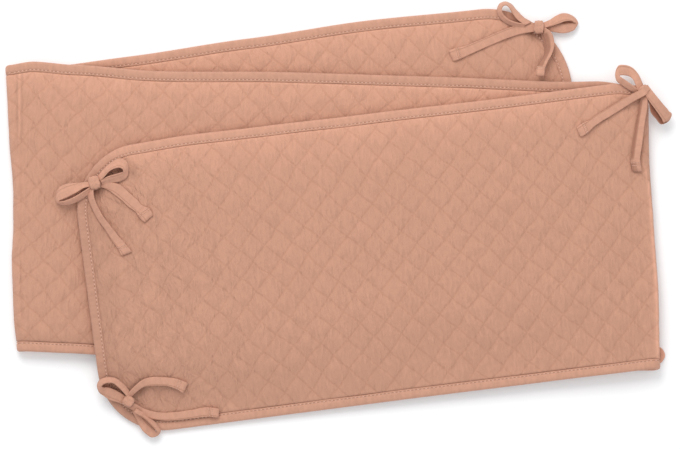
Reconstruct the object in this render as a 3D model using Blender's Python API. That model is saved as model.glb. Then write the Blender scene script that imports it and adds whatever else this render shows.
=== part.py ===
"""Quilted cot bumper, bound all round, folded in three layers with its ties in bows.

Lengths are in metres and angles in degrees. A point of the cloth is named by its distance
along the strip from the free end of the top layer (along), its distance from the strip's
middle line (across) and its height over the middle of the cloth (out, towards the face that
looks up on the top layer). The origin is on the flat underside of the bottom layer.
"""
import math

import bpy
import numpy as np
from mathutils import Vector
from mathutils.geometry import delaunay_2d_cdt

# The strip and its quilting
LENGTH = 1.800
WIDTH = 0.290
THICKNESS = 0.006
CORNER_RADIUS_TOP_LAYER = 0.0665
CORNER_RADIUS_BOTTOM_LAYER = 0.085
DIAMOND_ALONG = 0.0278
DIAMOND_ACROSS = 0.0298
STITCH_DEPTH = 0.0007
# How far the stitch lines have drifted along and across the strip, a row per station
QUILT_DRIFT = {
    "along": (0.00, 0.40, 0.48, 0.56, 0.80, 0.94, 1.02, 1.07, 1.17, 1.24, 1.45, 1.80),
    "ahead": (0.0102, 0.0107, 0.0122, 0.0140, 0.0144, 0.0125, 0.0108, 0.0095, 0.0075, 0.0075,
              -0.0004, -0.0004),
    "aside": (0.0047, 0.0047, 0.0048, 0.0047, 0.0040, 0.0015, -0.0026, -0.0048, -0.0053, -0.0053,
              -0.0039, -0.0039),
}
PILLOW_RISE = 0.0005

# The binding, a tape folded over the edge
BINDING_LEG = 0.010
BINDING_TAPE = 0.001
BINDING_NOSE = 0.0026
CLEARANCE = 0.00032
RIM_HALF = THICKNESS / 2 - BINDING_TAPE - CLEARANCE
RIM_INSET = BINDING_TAPE + CLEARANCE
SHOULDER_INSET = BINDING_LEG + 0.0006
FACE_INSET = 0.0145
QUILT_INSET = 0.0155

# The three layers and the two folds between them
LAYER_PITCH = 0.0085
FOLD_RADIUS = LAYER_PITCH / 2
FOLD_STEPS = 6
FOLD_LENGTH = math.pi * FOLD_RADIUS
FREE_END = (-0.2544, -0.0725)
FIRST_FOLD_ALONG = 0.5690
SECOND_FOLD_ALONG = 1.2165
TOP_HEADING = 7.4
FIRST_FOLD_FACING = 2.9
SECOND_FOLD_FACING = 182.7
FIRST_FOLD_SLIP = (0.0, -0.0018)
SETTLED = (0.0, -0.0037)
SETTLE_REACH = 0.10
FOLD_BULGE_REACH = 0.090

# How the layers sink where nothing lies under them
SAG_REACH_MIDDLE = 0.075
SAG_REACH_TOP = 0.075
SAG_FLOOR = 0.08
PROP_PLACE = (0.300, -0.112)
PROP_RADIUS = 0.075
PROP_SHARE = 0.63

STATION_STEP = 0.0279
CORNER_STEPS = 6
FOLD_CLEAR = 0.008
FOLD_ROWS = 9

# How far the edges stray from the straight strip, a row per station
EDGE_STRAY = {
    "along": (0.00, 0.06, 0.12, 0.20, 0.30, 0.45, 0.550, 0.586, 0.64, 0.80, 0.95, 1.08, 1.165, 1.205,
              1.238, 1.29, 1.36, 1.48, 1.60, 1.72, 1.80),
    "top": (0.0000, 0.0014, 0.0034, 0.0024, 0.0012, -0.0005, -0.0005, -0.0062, 0.0008, 0.0030,
            0.0034, 0.0008, 0.0048, 0.0070, 0.0020, -0.0036, -0.0027, 0.0006, 0.0040, 0.0015, 0.0000),
    "bottom": (0.0000, 0.0001, 0.0002, 0.0003, 0.0003, -0.0003, -0.0010, -0.0016, 0.0000, 0.0000,
               0.0000, 0.0000, 0.0035, 0.0042, 0.0032, 0.0010, 0.0000, 0.0000, 0.0000, 0.0000, 0.0000),
}
# How far each fold's line bulges outwards, a row per place across the strip
FIRST_FOLD_BULGE = {
    "across": (-0.145, -0.060, 0.000, 0.060, 0.145),
    "out": (-0.0010, 0.0012, 0.0000, -0.0012, 0.0012),
}
SECOND_FOLD_BULGE = {
    "across": (-0.145, -0.110, -0.060, -0.010, 0.020, 0.070, 0.145),
    "out": (0.0018, 0.0036, 0.0032, -0.0006, -0.0019, -0.0003, 0.0000),
}

# The ties: a flat tape for each loop and tail of a bow, fused at its knot
TAPE_WIDTH = 0.0086
TAPE_THICKNESS = 0.0017
KNOT_SIZE = (0.0066, 0.0058, 0.0036)
KNOT_LIFT = 0.0040
PRESSED_KNOT_HALF = 0.0021
PRESSED_KNOT_LIFT = 0.0024
FIRST_STRAND_DROP = 0.0006
STRAND_RISE = 0.0004
TAPE_FALL = 0.34
LOOP_STATIONS = 13
LOOP_ROOT_GAP = 0.0002
TAIL_STATIONS = 8
LEAF_THICKNESS = 0.0040
LEAF_NARROW = 0.72
LEAF_SWELL = 0.62
LEAF_LATE = 1.3
COVER_MARGIN = 0.0022
TIE_REST = 0.00042

# A row per tie: its knot's place, then a row per strand: kind, heading, reach, and for a
# loop its breadth, for a tail or leaf (a loop pressed flat) its turn; the tape leans from
# flat by start and end lean.
STRAND_COLUMNS = ("kind", "heading", "reach", "shape", "lean_start", "lean_end")
TIES = {
    "tie_top_left": {
        "knot": (-0.2478, 0.0434), "turned": 30.0, "pressed": False,
        "strands": (
            ("leaf", 197.0, 0.0400, 8.0, 24.0, 16.0),
            ("loop", 28.0, 0.036, 0.0115, 62.0, 40.0),
            ("tail", -85.0, 0.079, 35.0, 62.0, 12.0),
            ("tail", -24.0, 0.068, -22.0, 0.0, 0.0),
        ),
    },
    "tie_bottom_left": {
        "knot": (-0.2147, -0.1798), "turned": -33.0, "pressed": False,
        "strands": (
            ("loop", 141.0, 0.034, 0.0100, 30.0, 56.0),
            ("leaf", -44.0, 0.0430, -14.0, 22.0, 10.0),
            ("tail", 53.0, 0.064, -70.0, 24.0, 0.0),
            ("tail", -30.0, 0.089, 48.0, 0.0, 0.0),
        ),
    },
    "tie_right_top": {
        "knot": (0.3111, 0.1338), "turned": -50.0, "pressed": False,
        "strands": (
            ("loop", 144.0, 0.036, 0.0125, 40.0, 46.0),
            ("leaf", -50.0, 0.0370, -6.0, 16.0, 24.0),
            ("tail", 199.0, 0.079, 25.0, 10.0, 0.0),
            ("tail", -96.0, 0.077, -6.0, 36.0, 20.0),
        ),
    },
    "tie_bottom_layer": {
        "knot": (0.2010, 0.1985), "turned": 8.0, "pressed": False,
        "strands": (
            ("loop", 149.0, 0.043, 0.0080, 64.0, 62.0),
            ("loop", 5.0, 0.038, 0.0060, 24.0, 38.0),
            ("tail", 195.0, 0.093, 4.0, 0.0, 0.0),
            ("tail", -38.0, 0.050, -100.0, 56.0, 40.0),
        ),
    },
    "tie_right_bottom": {
        "knot": (0.3050, -0.1286), "turned": 70.0, "pressed": True,
        "strands": (
            ("loop", -8.0, 0.0190, 0.0130, 12.0, 12.0),
            ("loop", 160.0, 0.030, 0.0180, 12.0, 12.0),
            ("tail", 105.0, 0.055, 24.0, 0.0, 0.0),
            ("tail", 206.0, 0.045, -24.0, 0.0, 0.0),
        ),
    },
    "tie_bottom_layer_hidden": {
        "knot": (0.2345, -0.0460), "turned": 80.0, "pressed": True,
        "strands": (
            ("tail", -88.0, 0.045, -14.0, 0.0, 0.0),
            ("tail", 50.0, 0.052, 24.0, 0.0, 0.0),
        ),
    },
}

CLOTH_COLOUR = (0.602, 0.318, 0.216, 1.0)
BINDING_COLOUR = (0.658, 0.358, 0.250, 1.0)
TIE_COLOUR = (0.640, 0.345, 0.238, 1.0)
CLOTH_ROUGHNESS = 0.92


def heading(angle):
    """Unit direction in plan at an angle from +X."""
    turned = math.radians(angle)
    return np.array((math.cos(turned), math.sin(turned)))


def smooth(value):
    """Soft step from 0 to 1."""
    clipped = np.clip(value, 0.0, 1.0)
    return clipped * clipped * (3.0 - 2.0 * clipped)


def table_value(table, key, column, where):
    """Read a table's column at a place, softly from row to row."""
    keys = np.array(table[key])
    values = np.array(table[column])
    row = np.clip(np.searchsorted(keys, where, side="right") - 1, 0, len(keys) - 2)
    share = (where - keys[row]) / (keys[row + 1] - keys[row])
    return values[row] + (values[row + 1] - values[row]) * smooth(share)


def fold_layers():
    """Plan frames of the three layers: where along = 0 lies, and both directions."""
    first_turn = TOP_HEADING - FIRST_FOLD_FACING
    middle_heading = 180.0 - first_turn + FIRST_FOLD_FACING
    second_turn = SECOND_FOLD_FACING - middle_heading
    bottom_heading = middle_heading + 180.0 + 2.0 * second_turn
    along = [heading(TOP_HEADING), heading(middle_heading), heading(bottom_heading)]
    slant = [math.tan(math.radians(first_turn)), math.tan(math.radians(second_turn))]
    across = [heading(TOP_HEADING + 90.0)]
    across.append(across[0] + slant[0] * (along[0] - along[1]))
    across.append(across[1] + slant[1] * (along[1] - along[2]))
    origin = [np.array(FREE_END)]
    origin.append(origin[0] + (along[0] - along[1]) * FIRST_FOLD_ALONG
                  - along[1] * FOLD_LENGTH + np.array(FIRST_FOLD_SLIP))
    origin.append(origin[1] + (along[1] - along[2]) * SECOND_FOLD_ALONG
                  - along[2] * FOLD_LENGTH)
    return origin, along, across, slant


ORIGIN, ALONG, ACROSS, SLANT = fold_layers()


def fold_start(fold, across):
    """Where along the strip a fold begins, at a place across it."""
    start = FIRST_FOLD_ALONG if fold == 0 else SECOND_FOLD_ALONG
    return start + across * SLANT[fold]


def plan_point(layer, along, across):
    """Plan place of cloth points if they lie in one layer's plane, edges strayed."""
    share = across / WIDTH
    stray = (table_value(EDGE_STRAY, "along", "top", along) * (0.5 + share)
             + table_value(EDGE_STRAY, "along", "bottom", along) * (0.5 - share))
    place = (ORIGIN[layer] + np.multiply.outer(along, ALONG[layer])
             + np.multiply.outer(across + stray, ACROSS[layer]))
    if layer > 0:
        settled = smooth((along - fold_start(0, across) - FOLD_LENGTH) / SETTLE_REACH)
        place = place + np.multiply.outer(settled, SETTLED)
    for fold, bulge, facing in ((0, FIRST_FOLD_BULGE, FIRST_FOLD_FACING),
                                (1, SECOND_FOLD_BULGE, SECOND_FOLD_FACING)):
        if layer in (fold, fold + 1):
            away = np.abs(along - fold_start(fold, across) - FOLD_LENGTH / 2)
            amount = table_value(bulge, "across", "out", across) * (1.0 - smooth(away / FOLD_BULGE_REACH))
            place = place + np.multiply.outer(amount, heading(facing))
    return place


def over_edge(layer, place):
    """How far plan points lie past a layer's bottom edge, and past its free end."""
    offset = place - ORIGIN[layer] - np.array(SETTLED)
    below = -WIDTH / 2 - offset @ ACROSS[layer]
    beyond = offset @ ALONG[layer] - LENGTH
    return below, beyond


def layer_height(layer, place):
    """Height of a layer's middle over the floor at plan points."""
    if layer == 2:
        return np.full(place.shape[:-1], THICKNESS / 2)
    below, beyond = over_edge(2, place)
    outside = np.hypot(np.maximum(below, 0.0), np.maximum(beyond, 0.0))
    prop = np.linalg.norm(place - np.array(PROP_PLACE), axis=-1) / PROP_RADIUS
    hold = SAG_FLOOR + (PROP_SHARE - SAG_FLOOR) * np.exp(-prop * prop)
    carried = 1.0 - (1.0 - hold) * smooth(outside / SAG_REACH_MIDDLE)
    if layer == 1:
        return THICKNESS / 2 + LAYER_PITCH * carried
    below = over_edge(1, place)[0]
    held = 1.0 - smooth(below / SAG_REACH_TOP)
    return THICKNESS / 2 + LAYER_PITCH * held * (1.0 + carried)


def cloth_point(along, across, out):
    """Place in space of points of the cloth, given in the strip's own measures."""
    along, across, out = np.broadcast_arrays(np.asarray(along, float), across, out)
    turn = [np.clip((along - fold_start(fold, across)) / FOLD_LENGTH, 0.0, 1.0) for fold in (0, 1)]
    plans = [plan_point(layer, along, across) for layer in (0, 1, 2)]
    result = np.zeros(along.shape + (3,))
    for layer, sign in ((0, 1.0), (1, -1.0), (2, 1.0)):
        here = (turn[0] > 0.0).astype(int) + (turn[1] > 0.0).astype(int) == layer
        result[here, :2] = plans[layer][here]
        result[here, 2] = layer_height(layer, plans[layer][here]) + sign * out[here]
    for fold, facing, sign in ((0, FIRST_FOLD_FACING, 1.0), (1, SECOND_FOLD_FACING, -1.0)):
        bent = (turn[fold] > 0.0) & (turn[fold] < 1.0)
        angle = turn[fold][bent] * math.pi
        share = (1.0 - np.cos(angle)) / 2
        start = fold_start(fold, across[bent])
        upper = plan_point(fold, start, across[bent])
        lower = plan_point(fold + 1, start + FOLD_LENGTH, across[bent])
        reach = (FOLD_RADIUS + sign * out[bent]) * np.sin(angle)
        rise = sign * out[bent] * np.cos(angle)
        result[bent, :2] = (upper + (lower - upper) * share[:, None]
                            + np.multiply.outer(reach, heading(facing)))
        result[bent, 2] = (layer_height(fold, upper) * (1.0 - share)
                           + layer_height(fold + 1, lower) * share + rise)
    return result


def spaced(start, end):
    """Even stations from start to end, both included."""
    count = max(2, round(abs(end - start) / STATION_STEP) + 1)
    return list(np.linspace(start, end, count))


def edge_stations():
    """Stations round the strip's edge: functions from an inset to (along, across)."""
    stations = []

    def straight(along, side):
        stations.append(lambda inset: (along, side * (WIDTH / 2 - inset)))

    def folded(fold, step, side):
        def place(inset):
            across = side * (WIDTH / 2 - inset)
            return fold_start(fold, across) + FOLD_LENGTH * step / FOLD_STEPS, across
        stations.append(place)

    def corner(centre_along, centre_across, radius, angle):
        turned = math.radians(angle)
        stations.append(lambda inset: (centre_along + (radius - inset) * math.cos(turned),
                                       centre_across + (radius - inset) * math.sin(turned)))

    def end(along, sense, across):
        stations.append(lambda inset: (along - sense * inset, across))

    near, far = CORNER_RADIUS_TOP_LAYER, CORNER_RADIUS_BOTTOM_LAYER
    for side in (-1, 1):
        folds = [fold_start(fold, side * WIDTH / 2) for fold in (0, 1)]
        run = spaced(near, folds[0] - FOLD_CLEAR)[1:]
        run += [(0, step) for step in range(FOLD_STEPS + 1)]
        run += spaced(folds[0] + FOLD_LENGTH + FOLD_CLEAR, folds[1] - FOLD_CLEAR)
        run += [(1, step) for step in range(FOLD_STEPS + 1)]
        run += spaced(folds[1] + FOLD_LENGTH + FOLD_CLEAR, LENGTH - far)[:-1]
        for item in run if side < 0 else reversed(run):
            if isinstance(item, tuple):
                folded(item[0], item[1], side)
            else:
                straight(item, side)
        radius, centre = (far, LENGTH - far) if side < 0 else (near, near)
        first = -90.0 if side < 0 else 90.0
        angles = [first + 90.0 * step / CORNER_STEPS for step in range(CORNER_STEPS + 1)]
        for angle in angles:
            corner(centre, side * (WIDTH / 2 - radius), radius, angle)
        sense = -side
        free = LENGTH if side < 0 else 0.0
        half = WIDTH / 2 - radius
        for across in spaced(side * half, -side * half)[1:-1]:
            end(free, sense, across)
        for angle in angles:
            corner(centre, -side * (WIDTH / 2 - radius), radius, angle + 90.0)
    return stations


STATIONS = edge_stations()


def ring(inset):
    """The edge's stations at an inset, as (along, across) rows."""
    return np.array([station(inset) for station in STATIONS])


def inside_edge(along, across):
    """Distance of a point inside the strip's rounded outline."""
    radius = CORNER_RADIUS_TOP_LAYER if along < LENGTH / 2 else CORNER_RADIUS_BOTTOM_LAYER
    from_end = min(along, LENGTH - along)
    from_side = WIDTH / 2 - abs(across)
    if from_end < radius and from_side < radius:
        return radius - math.hypot(radius - from_end, radius - from_side)
    return min(from_end, from_side)


def clear_of_folds(along, across):
    """True where a quilting point keeps its distance from both folds."""
    for fold in (0, 1):
        start = fold_start(fold, across)
        if start - FOLD_CLEAR < along < start + FOLD_LENGTH + FOLD_CLEAR:
            return False
    return True


def layer_at(along, across):
    """The layer in which a point of the strip lies, 0 at the top."""
    return int(along > fold_start(0, across)) + int(along > fold_start(1, across))


def looks_up(side, layer):
    """True where a face of the cloth (1 or -1) looks up, so that its quilting shows."""
    return (side > 0) == (layer != 1)


def face_points(side):
    """Inner points of one face and the lines that its triangles keep."""
    points = []
    heights = []
    lines = []
    shoulder = ring(SHOULDER_INSET)
    count = len(shoulder)
    for place in shoulder:
        points.append(tuple(place))
        heights.append(RIM_HALF)
    lines += [(index, (index + 1) % count) for index in range(count)]
    face_ring = {}
    for index, place in enumerate(ring(FACE_INSET)):
        if not looks_up(side, layer_at(*place)) or not clear_of_folds(*place):
            face_ring[index] = len(points)
            points.append(tuple(place))
            heights.append(THICKNESS / 2)
    for index, own in face_ring.items():
        following = face_ring.get((index + 1) % count)
        if following is not None:
            lines.append((own, following))
    add_fold_lines(points, heights, lines, face_ring)
    add_quilting(side, points, heights, lines)
    return points, heights, lines


def fold_station_indices(fold, step):
    """Indices of the two edge stations on one line of a fold, bottom edge first."""
    found = []
    for index, place in enumerate(ring(0.0)):
        line = fold_start(fold, place[1]) + FOLD_LENGTH * step / FOLD_STEPS
        if abs(place[0] - line) < 1e-9:
            found.append(index)
    return sorted(found, key=lambda index: STATIONS[index](0.0)[1])


def add_fold_lines(points, heights, lines, face_ring):
    """Lines across the strip along which a fold bends."""
    for fold in (0, 1):
        for step in range(FOLD_STEPS + 1):
            low, high = fold_station_indices(fold, step)
            chain = [low, face_ring[low]]
            for across in np.linspace(-WIDTH / 2 + FACE_INSET, WIDTH / 2 - FACE_INSET, FOLD_ROWS)[1:-1]:
                chain.append(len(points))
                points.append((fold_start(fold, across) + FOLD_LENGTH * step / FOLD_STEPS, across))
                heights.append(THICKNESS / 2)
            chain += [face_ring[high], high]
            lines += list(zip(chain, chain[1:]))


def sagging(layer, along, across):
    """True where a layer bends because the layer under it ends."""
    place = plan_point(layer, np.array(along), np.array(across))
    below, beyond = over_edge(layer + 1 if layer < 2 else 2, place)
    if layer == 0:
        below_bottom, beyond_bottom = over_edge(2, place)
        beyond = max(beyond_bottom, below_bottom)
    return max(float(below), float(beyond)) > -DIAMOND_ALONG / 2


def add_quilting(side, points, heights, lines):
    """Diamond quilting: stitched corners low and pillow middles high where the face shows."""
    columns = int(LENGTH / (DIAMOND_ALONG / 2)) + 2
    rows = int(WIDTH / DIAMOND_ACROSS) + 1
    index_at = {}
    for column in range(columns):
        for row in range(-rows, rows + 1):
            along = column * DIAMOND_ALONG / 2
            across = row * DIAMOND_ACROSS / 2 - float(table_value(QUILT_DRIFT, "along", "aside", along))
            along -= float(table_value(QUILT_DRIFT, "along", "ahead", along))
            if not 0.0 < along < LENGTH or abs(across) > WIDTH / 2:
                continue
            layer = layer_at(along, across)
            shows = looks_up(side, layer)
            corner = (column + row) % 2 == 0
            margin = QUILT_INSET if shows else QUILT_INSET + DIAMOND_ALONG / 4
            if inside_edge(along, across) < margin or not clear_of_folds(along, across):
                continue
            if not shows and (layer == 2 or not (corner or sagging(layer, along, across))):
                continue
            index_at[column, row] = len(points)
            points.append((along, across))
            relief = 0.0
            if shows:
                relief = -STITCH_DEPTH if corner else PILLOW_RISE
            heights.append(THICKNESS / 2 + relief)
    for (column, row), index in index_at.items():
        if (column + row) % 2:
            continue
        for step in (-1, 1):
            other = index_at.get((column + 1, row + step))
            if other is not None:
                lines.append((index, other))


def new_object(name, vertices, faces, colour):
    """A mesh object with its own plain cloth material."""
    mesh = bpy.data.meshes.new(name)
    mesh.from_pydata([tuple(vertex) for vertex in vertices], [], faces)
    mesh.validate()
    mesh.update()
    thing = bpy.data.objects.new(name, mesh)
    bpy.context.scene.collection.objects.link(thing)
    material = bpy.data.materials.new(name + "_cloth")
    material.use_nodes = True
    shader = material.node_tree.nodes["Principled BSDF"]
    shader.inputs["Base Color"].default_value = colour
    shader.inputs["Roughness"].default_value = CLOTH_ROUGHNESS
    shader.inputs["Metallic"].default_value = 0.0
    mesh.materials.append(material)
    return thing


def make_panel():
    """The quilted strip: two faces of points, joined by a thin rim inside the binding."""
    rim = ring(RIM_INSET)
    count = len(rim)
    vertices = [cloth_point(rim[:, 0], rim[:, 1], side * RIM_HALF) for side in (1, -1)]
    faces = []
    rim_start = {1: 0, -1: count}
    total = 2 * count
    for index in range(count):
        after = (index + 1) % count
        faces.append((index, count + index, count + after, after))
    for side in (1, -1):
        points, heights, lines = face_points(side)
        flat = [Vector(point) for point in points]
        triangulated = delaunay_2d_cdt(flat, lines, [], 1, 1e-7)
        kept, triangles, sources = triangulated[0], triangulated[2], triangulated[3]
        if len(kept) != len(flat):
            raise ValueError("stitch lines cross each other")
        place_of = {source[0]: index for index, source in enumerate(sources)}
        own = np.array(points)
        vertices.append(cloth_point(own[:, 0], own[:, 1], side * np.array(heights)))
        for triangle in triangles:
            corners = [total + sources[index][0] for index in triangle]
            faces.append(tuple(corners if side > 0 else reversed(corners)))
        if sorted(place_of) != list(range(len(points))):
            raise ValueError("a point of the face was lost")
        for index in range(count):
            after = (index + 1) % count
            outer, outer_after = rim_start[side] + index, rim_start[side] + after
            inner, inner_after = total + index, total + after
            strips = ((outer, outer_after, inner_after), (outer, inner_after, inner))
            faces += [strip if side > 0 else strip[::-1] for strip in strips]
        total += len(points)
    thing = new_object("quilted_panel", np.concatenate(vertices), faces, CLOTH_COLOUR)
    return thing


def make_binding():
    """A tape folded over the edge: a U section carried round every station."""
    half = THICKNESS / 2
    inner = half - BINDING_TAPE
    section = ((BINDING_LEG, half), (0.0, BINDING_NOSE), (0.0, -BINDING_NOSE), (BINDING_LEG, -half),
               (BINDING_LEG, -inner), (BINDING_TAPE, -inner), (BINDING_TAPE, inner), (BINDING_LEG, inner))
    vertices = []
    for inset, out in section:
        line = ring(inset)
        vertices.append(cloth_point(line[:, 0], line[:, 1], out))
    count = len(STATIONS)
    faces = []
    for row in range(len(section)):
        below = (row + 1) % len(section)
        for index in range(count):
            after = (index + 1) % count
            corner = [row * count + index, below * count + index,
                      below * count + after, row * count + after]
            faces.append((corner[0], corner[1], corner[2]))
            faces.append((corner[0], corner[2], corner[3]))
    return new_object("edge_binding", np.concatenate(vertices), faces, BINDING_COLOUR)


def cover_height(place):
    """Height of the highest cloth over or beside a plan point, 0 on the floor."""
    highest = 0.0
    for layer in (2, 1, 0):
        offset = place - ORIGIN[layer]
        along = float(offset @ ALONG[layer])
        across = float(offset @ ACROSS[layer])
        first = 0.0 if layer == 0 else fold_start(layer - 1, across) + FOLD_LENGTH
        last = LENGTH if layer == 2 else fold_start(layer, across)
        bend = FOLD_RADIUS + THICKNESS / 2 + COVER_MARGIN
        first -= COVER_MARGIN if layer == 0 else bend
        last += COVER_MARGIN if layer == 2 else bend
        limits = [table_value(EDGE_STRAY, "along", column, np.clip(along, 0.0, LENGTH))
                  for column in ("top", "bottom")]
        if not first < along < last:
            continue
        if not -WIDTH / 2 + limits[1] - COVER_MARGIN < across < WIDTH / 2 + limits[0] + COVER_MARGIN:
            continue
        shown = layer_height(layer, place) + THICKNESS / 2 + PILLOW_RISE
        highest = max(highest, float(shown))
    return highest


def strand_plan(strand):
    """A strand's path in plan from the knot: a drop for a loop, an arc for a tail."""
    row = dict(zip(STRAND_COLUMNS, strand))
    ahead = heading(row["heading"])
    aside = heading(row["heading"] + 90.0)
    if row["kind"] == "loop":
        share = np.linspace(0.0, 1.0, LOOP_STATIONS)
        # the two roots lie side by side in the knot, a little apart
        ends = np.radians(np.where(share < 0.5, row["lean_start"], row["lean_end"]))
        root = (TAPE_WIDTH * np.cos(ends) + TAPE_THICKNESS * np.sin(ends)) / 2 + LOOP_ROOT_GAP
        reach = row["reach"] * np.sin(math.pi * share)
        breadth = row["shape"] / 2 * np.sin(2.0 * math.pi * share) + root * np.cos(math.pi * share)
    else:
        share = np.linspace(0.0, 1.0, TAIL_STATIONS)
        bend = math.radians(row["shape"])
        steps = row["reach"] / (TAIL_STATIONS - 1)
        middles = (share[:-1] + share[1:]) / 2 * bend
        reach = np.concatenate(([0.0], np.cumsum(np.cos(middles)) * steps))
        breadth = np.concatenate(([0.0], np.cumsum(np.sin(middles)) * steps))
    path = np.multiply.outer(reach, ahead) + np.multiply.outer(breadth, aside)
    lean = np.radians(row["lean_start"] + (row["lean_end"] - row["lean_start"]) * share)
    return path, lean


def tape_size(kind, stations):
    """Width at each station and thickness: a plain tape's, or a leaf's that swells and narrows."""
    if kind != "leaf":
        return np.full(stations, TAPE_WIDTH), TAPE_THICKNESS
    share = np.linspace(0.0, 1.0, stations)
    return TAPE_WIDTH * (LEAF_NARROW + LEAF_SWELL * np.sin(math.pi * share ** LEAF_LATE)), LEAF_THICKNESS


def rest_heights(path, lean, knot_height, kind, pressed):
    """Heights of a strand's middle: on what carries it, falling no faster than a tape does."""
    width, thickness = tape_size(kind, len(lean))
    lying = width / 2 * np.sin(lean) + thickness / 2 * np.cos(lean) + TIE_REST
    if pressed:
        return lying
    tangent = np.gradient(path, axis=0)
    side = np.stack((-tangent[:, 1], tangent[:, 0]), axis=1)
    side /= np.linalg.norm(side, axis=1)[:, None]
    reach = (width / 2 * np.cos(lean) + thickness)[:, None]
    under = np.array([max(cover_height(centre + side_step) for side_step in (0 * edge, edge, -edge))
                      for centre, edge in zip(path, side * reach)])
    heights = under + lying
    heights[0] = max(heights[0], knot_height)
    steps = np.linalg.norm(np.diff(path, axis=0), axis=1) * TAPE_FALL
    for index in range(1, len(heights)):
        heights[index] = max(heights[index], heights[index - 1] - steps[index - 1])
    for index in reversed(range(len(heights) - 1)):
        heights[index] = max(heights[index], heights[index + 1] - steps[index])
    return heights


def tape_mesh(name, middle, lean, kind):
    """A flat tape along a path, leaning over by an angle at each station."""
    width, thickness = tape_size(kind, len(middle))
    tangent = np.gradient(middle, axis=0)
    tangent /= np.linalg.norm(tangent, axis=1)[:, None]
    flat = np.stack((-tangent[:, 1], tangent[:, 0], 0 * tangent[:, 0]), axis=1)
    flat /= np.linalg.norm(flat, axis=1)[:, None]
    upright = np.cross(tangent, flat)
    wide = flat * np.cos(lean)[:, None] + upright * np.sin(lean)[:, None]
    thick = np.cross(tangent, wide)
    corners = []
    for across, over in ((-1, -1), (1, -1), (1, 1), (-1, 1)):
        corners.append(middle + wide * across * width[:, None] / 2 + thick * over * thickness / 2)
    vertices = np.stack(corners, axis=1).reshape(-1, 3)
    faces = [(3, 2, 1, 0)]
    for index in range(len(middle) - 1):
        base = 4 * index
        for corner in range(4):
            after = (corner + 1) % 4
            faces.append((base + corner, base + after, base + 4 + after, base + 4 + corner))
    last = 4 * (len(middle) - 1)
    faces.append((last, last + 1, last + 2, last + 3))
    return new_object(name, vertices, faces, TIE_COLOUR)


def make_tie(name, tie):
    """One tie: its knot, with each loop and tail fused to it."""
    knot = np.array(tie["knot"])
    pressed = tie["pressed"]
    footprint = [knot + KNOT_SIZE[0] * heading(angle) for angle in range(0, 360, 45)]
    base = 0.0 if pressed else max(cover_height(place) for place in footprint)
    size = np.array(KNOT_SIZE)
    lift = KNOT_LIFT
    if pressed:
        size[2] = PRESSED_KNOT_HALF
        lift = PRESSED_KNOT_LIFT
    knot_height = base + lift
    bpy.ops.mesh.primitive_uv_sphere_add(segments=12, ring_count=6, radius=1.0)
    bow = bpy.context.object
    bow.name = name
    bow.data.name = name
    turned = math.radians(tie["turned"])
    for vertex in bow.data.vertices:
        x, y, z = np.array(vertex.co) * size
        vertex.co = (knot[0] + x * math.cos(turned) - y * math.sin(turned),
                     knot[1] + x * math.sin(turned) + y * math.cos(turned), knot_height + z)
    bow.data.materials.clear()
    for number, strand in enumerate(tie["strands"]):
        path, lean = strand_plan(strand)
        path = path + knot
        start = knot_height - FIRST_STRAND_DROP + STRAND_RISE * number
        heights = rest_heights(path, lean, start, strand[0], pressed)
        middle = np.column_stack((path, heights))
        tape = tape_mesh("%s_strand_%d" % (name, number), middle, lean, strand[0])
        tape.hide_render = True
        tape.display_type = "WIRE"
        if number == 0:
            bow.data.materials.append(tape.data.materials[0])
        fuse = bow.modifiers.new("fuse_%d" % number, "BOOLEAN")
        fuse.operation = "UNION"
        fuse.solver = "EXACT"
        fuse.use_self = True
        fuse.object = tape
    return bow


def main():
    for thing in list(bpy.data.objects):
        bpy.data.objects.remove(thing, do_unlink=True)
    make_panel()
    make_binding()
    for name, tie in TIES.items():
        make_tie(name, tie)


main()
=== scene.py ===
"""Looks of a quilted cot bumper, bound all round, folded in three layers, its ties in bows.

Lengths are in metres and angles in degrees. A point of the cloth is named by its distance
along the strip from the free end of the top layer, its distance across from the strip's
middle line, and its height out of the middle of the cloth.
"""
import math

import bmesh
import bpy
import numpy as np
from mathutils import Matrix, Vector, noise


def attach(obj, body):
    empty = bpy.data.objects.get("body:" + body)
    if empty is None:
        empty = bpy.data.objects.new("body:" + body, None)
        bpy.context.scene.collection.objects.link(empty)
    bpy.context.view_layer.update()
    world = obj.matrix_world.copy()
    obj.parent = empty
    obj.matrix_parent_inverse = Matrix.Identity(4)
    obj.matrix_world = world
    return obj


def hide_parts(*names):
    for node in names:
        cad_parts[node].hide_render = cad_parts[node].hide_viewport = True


# The strip, its quilting and its binding, as in the solids
LENGTH = 1.800
WIDTH = 0.290
THICKNESS = 0.006
CORNER_RADIUS = (0.0665, 0.085)
DIAMOND_ALONG = 0.0278
DIAMOND_ACROSS = 0.0298
RIM_INSET = 0.00132
RIM_HALF = 0.00168
LAYER_PITCH = 0.0085
FOLD_RADIUS = LAYER_PITCH / 2
FOLD_LENGTH = math.pi * FOLD_RADIUS
FREE_END = (-0.2544, -0.0725)
FOLD_ALONG = (0.5690, 1.2165)
FOLD_FACING = (2.9, 182.7)
TOP_HEADING = 7.4
FIRST_FOLD_SLIP = (0.0, -0.0018)
SETTLED = (0.0, -0.0037)
SETTLE_REACH = 0.10
FOLD_BULGE_REACH = 0.090
SAG_REACH = 0.075
SAG_FLOOR = 0.08
PROP_PLACE = (0.300, -0.112)
PROP_RADIUS = 0.075
PROP_SHARE = 0.63
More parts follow.
